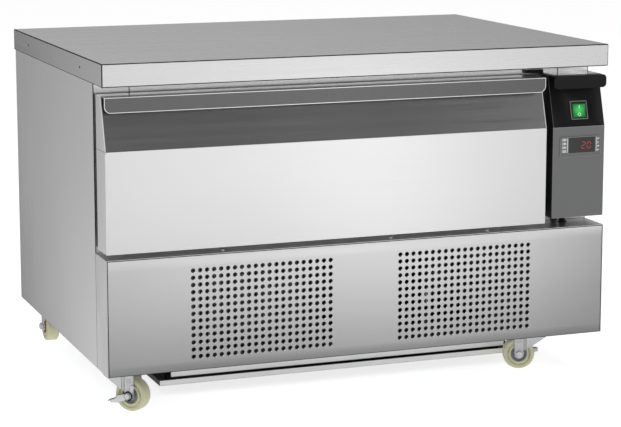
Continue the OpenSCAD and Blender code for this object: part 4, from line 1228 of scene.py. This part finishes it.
def make_washer(name, low, high):
    """A flat ring round the axle."""
    ring = disc(name, WASHER_R, low, high, 32)
    make_ring(ring, on_axle, WASHER_WIDE)
    round_edges(ring, 0.15, 2)
    return ring


bolts = {kind: make_bolt(at, NUT_AT) for kind, at in HEAD_AT.items()}
washers = {kind: make_washer("washer_" + kind, HEAD_AT[kind], to) for kind, to in WASHER_TO.items()}
print("bolt", len(bolts["braked"].data.polygons), "faces")

# %% Wheel: tread with a groove in each side
TREAD_HALF = 12.5
TREAD_DEEP = 14.8
SHOULDER_R = 4.2
GROOVE_IN = 3.6
GROOVE_DEEP = 1.1

tread_ring = disc("tread", wheel_r, -TREAD_HALF, TREAD_HALF, 72)
make_ring(tread_ring, on_axle, TREAD_DEEP)
bevel_at(tread_ring, lambda at: abs(abs(at.y) - TREAD_HALF) < 0.1
         and math.hypot(at.x - TRAIL, at.z - axle_z) > wheel_r - 1, SHOULDER_R, 5)
for side in (-1, 1):
    pick(tread_ring, "FACE", on_line(1, side * TREAD_HALF))
    bpy.ops.mesh.inset(thickness=GROOVE_IN * MM)
    extrude_by((0, -GROOVE_DEEP * side, 0))
    bpy.ops.mesh.inset(thickness=0.0004)
    close_edit()
round_edges(tread_ring, 0.5, 2, 50)
print("tread", len(tread_ring.data.polygons), "faces")

# %% Wheel: hub with a dished face and a raised boss
HUB_R = 16
HUB_HALF = 11.5
# Each step goes in by a width, then out by a height: the rim, the dish with its boss
HUB_STEPS = ((1.6, -3.5), (4.6, 4.5))

hub = disc("hub", HUB_R, -HUB_HALF, HUB_HALF, 60)
for side in (-1, 1):
    pick(hub, "FACE", on_line(1, side * HUB_HALF))
    for inwards, outwards in HUB_STEPS:
        bpy.ops.mesh.inset(thickness=inwards * MM)
        extrude_by((0, outwards * side, 0))
    bpy.ops.mesh.inset(thickness=0.0012)
    close_edit()
round_edges(hub, 0.4, 2, 40)
print("hub", len(hub.data.polygons), "faces")

# %% Brake lever and pedal
LEVER_TILT = {"left": -20, "right": 0}
LEVER_Y = (-18.5, -16.65)
LEVER_R = 9
WING_R = 5
WING_AT = (38, 43)
ARM_HALF = 5.5
GRIP_PITCH = 3.6
ARM_END = TRAIL - 41
ARM_BEND = TRAIL - 22
PEDAL_Y = (-28.6, -16.6)

lever = disc("lever", LEVER_R, LEVER_Y[0] - 0.05, LEVER_Y[1] + 0.05, 40)
round_edges(lever, 0.45, 2)
wing = disc("wing", WING_R, *LEVER_Y, 24, at=WING_AT)
shift(wing, lambda at: at.z < WING_AT[1] - 0.1, (-9, 0, -11))
round_edges(wing, 0.45, 2)
arm = block("arm", (ARM_END, LEVER_Y[0], axle_z - ARM_HALF),
            (TRAIL - 4, LEVER_Y[1], axle_z + ARM_HALF))
cut(arm, (ARM_BEND, 0, 0), (1, 0, 0))
squeeze(arm, lambda at: abs(at.x - ARM_BEND) < 0.1, (1, 1, 1.3), (0, 0, axle_z))
squeeze(arm, lambda at: at.x < ARM_END + 1, (1, 1, 0.35), (0, 0, axle_z - 1))
round_edges(arm, 0.45, 2)
pedal = block("pedal", (ARM_END, PEDAL_Y[0], axle_z + 2), (ARM_END + 14, PEDAL_Y[1], axle_z + 4))
bevel_at(pedal, lambda at: at.y < PEDAL_Y[0] + 0.6 and abs(at.z - axle_z - 3) < 0.1, 4.5, 4)
round_edges(pedal, 0.5, 3)
grips = []
for step in range(3):
    at_x = ARM_END + 3 + GRIP_PITCH * step
    grip = block("grip", (at_x, -27, axle_z + 3.9), (at_x + 1.4, -19, axle_z + 4.5))
    round_edges(grip, 0.3, 2)
    grips.append(grip)
lever = join("lever", pedal, *grips, arm, wing, lever)
print("lever", len(lever.data.polygons), "faces")

# %% Four casters from the one
for corner, spot in CASTER_SPOTS.items():
    kind = "braked" if corner.startswith("front") else "plain"
    body = "fork_" + corner
    part = copy_to(fork, "fork_" + corner, spot)
    register(part, body, "zinc_plated", zinc, "caster_fork_" + corner)
    # Narrow edge strips of the fork, and of the axle bolt below, get a painted shade: thin dark
    # lines.
    mark_folds(part, zinc_edge_painted_shade, 0.45)
    part = copy_to(bolts[kind], "axle_" + corner, spot)
    register(part, body, "zinc_plated", bolt_bright)
    mark_folds(part, zinc_edge_painted_shade, 0.35)
    part = copy_to(washers[kind], "washer_" + corner, spot)
    register(part, body, "zinc_plated", machine_black)
    body = "wheel_" + corner
    part = copy_to(tread_ring, "tread_" + corner, spot)
    register(part, body, "wheel_cream", tread, "caster_wheel_" + corner)
    part = copy_to(hub, "hub_" + corner, spot)
    register(part, body, "wheel_cream", hub_grey)

# %% Two brake pedals
for side, tilt in LEVER_TILT.items():
    turned = duplicate(lever, "turned")
    pick(turned, "VERT", lambda at: True)
    bpy.ops.transform.rotate(value=math.radians(-tilt), orient_axis="Y",
                             center_override=(TRAIL * MM, 0, axle_z * MM))
    close_edit()
    part = copy_to(turned, "brake_pedal_" + side, CASTER_SPOTS["front_" + side])
    register(part, "brake_" + side, "zinc_plated", bolt_bright, "brake_lever_" + side)
    # Narrow edge strips of the pedal get a painted shade: thin dark lines.
    mark_folds(part, zinc_edge_painted_shade, 0.35)
    bpy.data.objects.remove(turned)
for model in (fork, tread_ring, hub, lever, *bolts.values(), *washers.values()):
    bpy.data.objects.remove(model)
print("casters:", len(CASTER_SPOTS), "pedals:", len(LEVER_TILT))

# %% [markdown]
# ## Rocker switch
# The rocker is a lit green cap in a black bezel. Its frame part already has the two shallow slopes
# that a finger presses, so it stays, with rounded edges. The marks for on and off could be printed
# in the material, but raised shapes stay sharp from close by: a bar, and a ring. They are made
# upright at the origin, and then leaned and moved onto their slope.

# %% Marks on the rocker
ON_SLOPE = (-342.05, 530.66, 1.3)
OFF_SLOPE = (-344.08, 515.9, -17.0)
MARK_HALF = 0.2
BAR_MARK = (0.7, 3.0)
RING_MARK_R = 3.4
RING_MARK_WIDE = 1.1

bezel_low, bezel_high = frame_box("switch_bezel")
rocker_x = (bezel_low[0] + bezel_high[0]) / 2


def lay_on_slope(piece, slope):
    """Moves a piece from the origin to a slope of the switch and leans it alike."""
    y, z, lean_degrees = slope
    put(piece, (rocker_x, y, z), (lean_degrees, 0, 0))


def in_middle(at):
    """True for the middle of a flat piece at the origin."""
    return math.hypot(at.x, at.z) < 0.1


on_mark = block("on_mark", (-BAR_MARK[0], -MARK_HALF, -BAR_MARK[1]),
                (BAR_MARK[0], MARK_HALF, BAR_MARK[1]))
round_edges(on_mark, 0.15, 2)
lay_on_slope(on_mark, ON_SLOPE)
off_mark = disc("off_mark", RING_MARK_R, -MARK_HALF, MARK_HALF, 32, at=(0, 0))
make_ring(off_mark, in_middle, RING_MARK_WIDE)
round_edges(off_mark, 0.12, 2)
lay_on_slope(off_mark, OFF_SLOPE)
marks = join("rocker_marks", on_mark, off_mark)
register(marks, "rocker", "rocker_green", mark_green)

# %% [markdown]
# ## Thermostat
# The bezel has a dark window with a number in it, four keys at its left and a column of small
# signs at its right. The number could be a text object, but a real display has seven bars for each
# digit. One bar is a flat hexagon, drawn long by moving its ends apart, and it is made again for
# each lit segment.

# %% A number from seven segments
DIGIT_W = 7.2
DIGIT_H = 12.2
BAR_R = 0.48
BAR_HALF = 0.08
BAR_GAP = 0.9
POINT = 0.75
DIGIT_LEAN = 0.08
DIGIT_X = (450.6, 462.2)
DIGIT_Z = 456.6
SEGMENTS = {
    "top": (0, 1, True), "upper_left": (-0.5, 0.5, False), "upper_right": (0.5, 0.5, False),
    "middle": (0, 0, True), "lower_left": (-0.5, -0.5, False), "lower_right": (0.5, -0.5, False),
    "bottom": (0, -1, True),
}
TWO = ("top", "upper_right", "middle", "lower_left", "bottom")
ZERO = ("top", "upper_left", "upper_right", "lower_left", "lower_right", "bottom")

window_face = frame_box("thermostat_window")[0][1]


def bar(across):
    """One pointed bar of the display, at the origin."""
    half = (DIGIT_W if across else DIGIT_H / 2) / 2 - BAR_GAP
    piece = disc("segment", BAR_R, -BAR_HALF, BAR_HALF, 6, at=(0, 0))
    shift(piece, lambda at: at.z > 0.1, (0, 0, half - POINT))
    shift(piece, lambda at: at.z < -0.1, (0, 0, POINT - half))
    if across:
        put(piece, (0, 0, 0), (0, 90, 0))
    return piece


def digit(segments, x, z):
    """The bars of one digit, leaning a little to the right as such displays do."""
    bars = []
    for name in segments:
        side, level, across = SEGMENTS[name]
        height = level * DIGIT_H / 2
        piece = bar(across)
        put(piece, (x + side * DIGIT_W + DIGIT_LEAN * height, window_face - BAR_HALF - 0.01,
                    z + height))
        bars.append(piece)
    return bars


number = join("display_number", *digit(TWO, DIGIT_X[0], DIGIT_Z), *digit(ZERO, DIGIT_X[1], DIGIT_Z))
register(number, "cabinet", "display_window", lit_red)

# %% Signs on the four keys
SIGN_X = 409.6
SIGN_HALF = 0.06
ARROW_R = 2.7
DASH = (2.4, 0.8)
DOT_R = 2.3

key_boxes = [frame_box(name) for name in KEYS]
key_z = [(low[2] + high[2]) / 2 for low, high in key_boxes]
key_face = key_boxes[0][0][1]


def triangle(name, turn):
    """A small raised triangle, from a cylinder with three sides."""
    piece = disc(name, ARROW_R, -SIGN_HALF, SIGN_HALF, 3, at=(0, 0))
    put(piece, (0, 0, 0), (0, turn, 0))
    return piece


signs = [triangle("sign", 0), triangle("sign", 180),
         block("sign", (-DASH[0], -SIGN_HALF, -DASH[1]), (DASH[0], SIGN_HALF, DASH[1])),
         disc("sign", DOT_R, -SIGN_HALF, SIGN_HALF, 20, at=(0, 0))]
make_ring(signs[3], in_middle, 1.0)
for key, (sign, z) in enumerate(zip(signs, key_z), 1):
    put(sign, (SIGN_X, key_face + 0.05, z))
    sign.name = "key_sign_%d" % key
    register(sign, "key_%d" % key, "key_grey", print_white)

# %% Printed lines and signs on the bezel
case_low, case_high = frame_box("thermostat_case")
PRINT_Y = (case_low[1] - 0.04, case_low[1] + 0.02)
LINE_X = (415.6, 477.6)
LINE_WIDE = 1.3
COLUMN_X = 480.2
SIGN_WIDTHS = (4.6, 3.0, 4.6, 3.8)


def print_mark(left, right, low, high):
    """A flat mark on the face of the bezel."""
    made = block("strip", (left, PRINT_Y[0], low), (right, PRINT_Y[1], high))
    round_edges(made, 0.02, 1)
    return made


strips = [print_mark(x, x + LINE_WIDE, key_boxes[3][0][2], key_boxes[0][1][2]) for x in LINE_X]
for z, width in zip(key_z, SIGN_WIDTHS):
    strips.append(print_mark(COLUMN_X, COLUMN_X + width, z - 0.9, z + 0.9))
for z in key_z:
    strips.append(print_mark(COLUMN_X, COLUMN_X + 1.6, z - 2.7, z - 1.7))
print_marks = join("bezel_signs", *strips)
register(print_marks, "cabinet", "key_grey", print_white)

# %% [markdown]
# ## Softer edges
# A sharp edge never catches light. The frame parts that stay could be copied and bevelled by hand,
# but their own mesh has to stay as it is. So they get a live chain: Weld joins the loose triangles,
# Decimate merges the flat faces, and Bevel rounds what is left, with the fold's finish on it: a
# painted highlight on the plastics, and a painted shade on the steel and the rocker.

# %% Live rounding for the frame parts


def soften(width, *names, segments=2, fold=None):
    """Rounds the edges of frame parts with live modifiers. A fold material, a painted shade or
    highlight, shows on the edges.
    """
    for name in names:
        part = nodes[name]
        weld = part.modifiers.new("weld", "WELD")
        weld.merge_threshold = 0.00001
        flat = part.modifiers.new("flat", "DECIMATE")
        flat.decimate_type = "DISSOLVE"
        flat.angle_limit = math.radians(1)
        edge = part.modifiers.new("edge", "BEVEL")
        edge.width = width * MM
        edge.segments = segments
        edge.limit_method = "ANGLE"
        edge.angle_limit = math.radians(35)
        edge.harden_normals = False
        if fold is not None:
            part.data.materials.append(fold)
            edge.material = len(part.data.materials) - 1


# Lighter edge finishes on the plastics are painted highlight; the darker ones on the rocker and the
# steel are painted shade.
soften(0.9, "control_cap", segments=3, fold=black_edge_painted_highlight)
soften(0.8, "control_housing", fold=black_edge_painted_highlight)
soften(0.6, "thermostat_case", fold=bezel_edge_painted_highlight)
soften(0.6, "control_fascia", fold=grey_edge_painted_highlight)
soften(0.8, "switch_bezel", fold=bezel_edge_painted_highlight)
soften(1.5, "switch_rocker", fold=rocker_rim_painted_shade)
soften(0.35, *KEYS, "thermostat_window")
soften(0.5, "cable_glands")
soften(0.5, "front_frame", "base_surround", "machine_tray", "tray_baffle", fold=fold_painted_shade)
soften(1.3, "side_panel_left", "side_panel_right", segments=3, fold=fold_painted_shade)
soften(0.4, *SLIDES, "caster_plates", "screws", "base_floor", "drawer_tub",
       "drawer_inner_panel", "evaporator_cover", "inner_liner")
print("edges are softened")

# %% [markdown]
# ## Rims of the switch and the thermostat
# Both sit in the front with a thin raised rim that catches the light, and the rims are painted
# lighter than the plastics round them: a painted highlight. A rim could be a bent tube, but these
# are flat: a block with rounded corners, whose two large faces are inset and bridged.

# %% Two thin rims
RIM_SLOPE = (-341.27, 523.99, -16.64)
CASE_INSET = 0.3
SWITCH_RIM = {"wide": 1.4, "thick": 0.5, "corner": 2.2}
CASE_RIM = {"wide": 1.0, "thick": 0.3, "corner": 3.0}


def make_rim(name, half_width, half_height, wide, thick, corner):
    """A rectangular ring round the origin, facing the front."""
    piece = block(name, (-half_width, -thick, -half_height), (half_width, 0, half_height))
    bevel_at(piece, lambda at: abs(abs(at.x) - half_width) < 0.1
             and abs(abs(at.z) - half_height) < 0.1, corner, 5)
    make_ring(piece, in_middle, wide)
    round_edges(piece, thick * 0.3, 2)
    return piece


switch_half = (bezel_high[0] - bezel_low[0]) / 2
switch_rim = make_rim("switch_rim", switch_half, switch_half, **SWITCH_RIM)
lay_on_slope(switch_rim, RIM_SLOPE)
# The rim's light grey is a painted highlight.
register(switch_rim, "cabinet", "black_plastic", bezel_edge_painted_highlight)
case_rim = make_rim("case_rim", (case_high[0] - case_low[0]) / 2 - CASE_INSET,
                    (case_high[2] - case_low[2]) / 2 - CASE_INSET, **CASE_RIM)
put(case_rim, ((case_low[0] + case_high[0]) / 2, case_low[1] - 0.02,
               (case_low[2] + case_high[2]) / 2))
# The rim's light grey is a painted highlight.
register(case_rim, "cabinet", "fascia_grey", bezel_edge_painted_highlight)

# %% [markdown]
# ## Louvres at the back
# The back panel lets the warm air out through rows of slots. Each slot has a pressed hood that is
# open below. A hood could be pushed out of the panel's own mesh, but that would need edges all
# round each slot. Here it is a block without its back and underside, with rounded outer edges and
# a sheet's thickness. One is made and copied for every slot.

# %% Hoods over the back slots
VENT_X = 260
VENT_ROWS = 6
VENT_LOW = 135
VENT_PITCH = 22
HOOD_HALF = 79
HOOD_DEEP = 8
HOOD_Z = (-3.5, 11)
HOOD_TAPER = 0.93
HOOD_SLOPE = 4
HOOD_SHEET = 0.8

panel_face = frame_box("back_panel")[1][1]
hood_face = panel_face + HOOD_DEEP
hood = block("hood", (-HOOD_HALF, panel_face, HOOD_Z[0]), (HOOD_HALF, hood_face, HOOD_Z[1]))
open_up(hood, lambda at: at.z < HOOD_Z[0] + 0.1 or at.y < panel_face + 0.1)
squeeze(hood, lambda at: at.y > hood_face - 0.1, (HOOD_TAPER, 1, 1))
shift(hood, lambda at: at.y > hood_face - 0.1 and at.z > HOOD_Z[1] - 1, (0, 0, -HOOD_SLOPE))
round_edges(hood, 1.6, 3)
thicken(hood, HOOD_SHEET)
hoods = []
for side in (-1, 1):
    for row in range(VENT_ROWS):
        one = duplicate(hood, "hood")
        put(one, (side * VENT_X, 0, VENT_LOW + row * VENT_PITCH))
        hoods.append(one)
bpy.data.objects.remove(hood)
louvres = join("back_louvres", *hoods)
register(louvres, "cabinet", "stainless_brushed", side_steel)
print("hoods:", len(hoods))

# %% [markdown]
# ## Seal behind the drawer front
# The seal is a rubber profile that runs all the way round: a flat foot on the drawer, a narrow
# bellows and a rounded cushion that holds the magnet and meets the cabinet. It could be an outline
# swept round the drawer. Here each step of the profile is a ring, made as the rims above, because
# their corners then turn together.

# %% Three rings of the seal
SEAL_WIDE = 18
SEAL_CORNER = 4
# Each ring's share of the depth, from the foot to the cushion, and how far it is set in
SEAL_STEPS = ((0.0, 0.25, 0.0), (0.2, 0.6, 3.0), (0.55, 1.0, 1.2))

seal_low, seal_high = frame_box("drawer_gasket")
seal_mid = [(low + high) / 2 for low, high in zip(seal_low, seal_high)]
seal_half = [(high - low) / 2 for low, high in zip(seal_low, seal_high)]
seal_deep = seal_half[1] * 2
rings = []
for share_from, share_to, inset in SEAL_STEPS:
    ring = make_rim("seal_ring", seal_half[0] - inset, seal_half[2] - inset, SEAL_WIDE - 2 * inset,
                    (share_to - share_from) * seal_deep, SEAL_CORNER)
    put(ring, (seal_mid[0], seal_low[1] + share_to * seal_deep, seal_mid[2]))
    rings.append(ring)
seal = join("drawer_seal", *rings)
register(seal, "drawer", "gasket_grey", gasket_rubber, "drawer_gasket")
print("seal depth", round(seal_deep, 2))
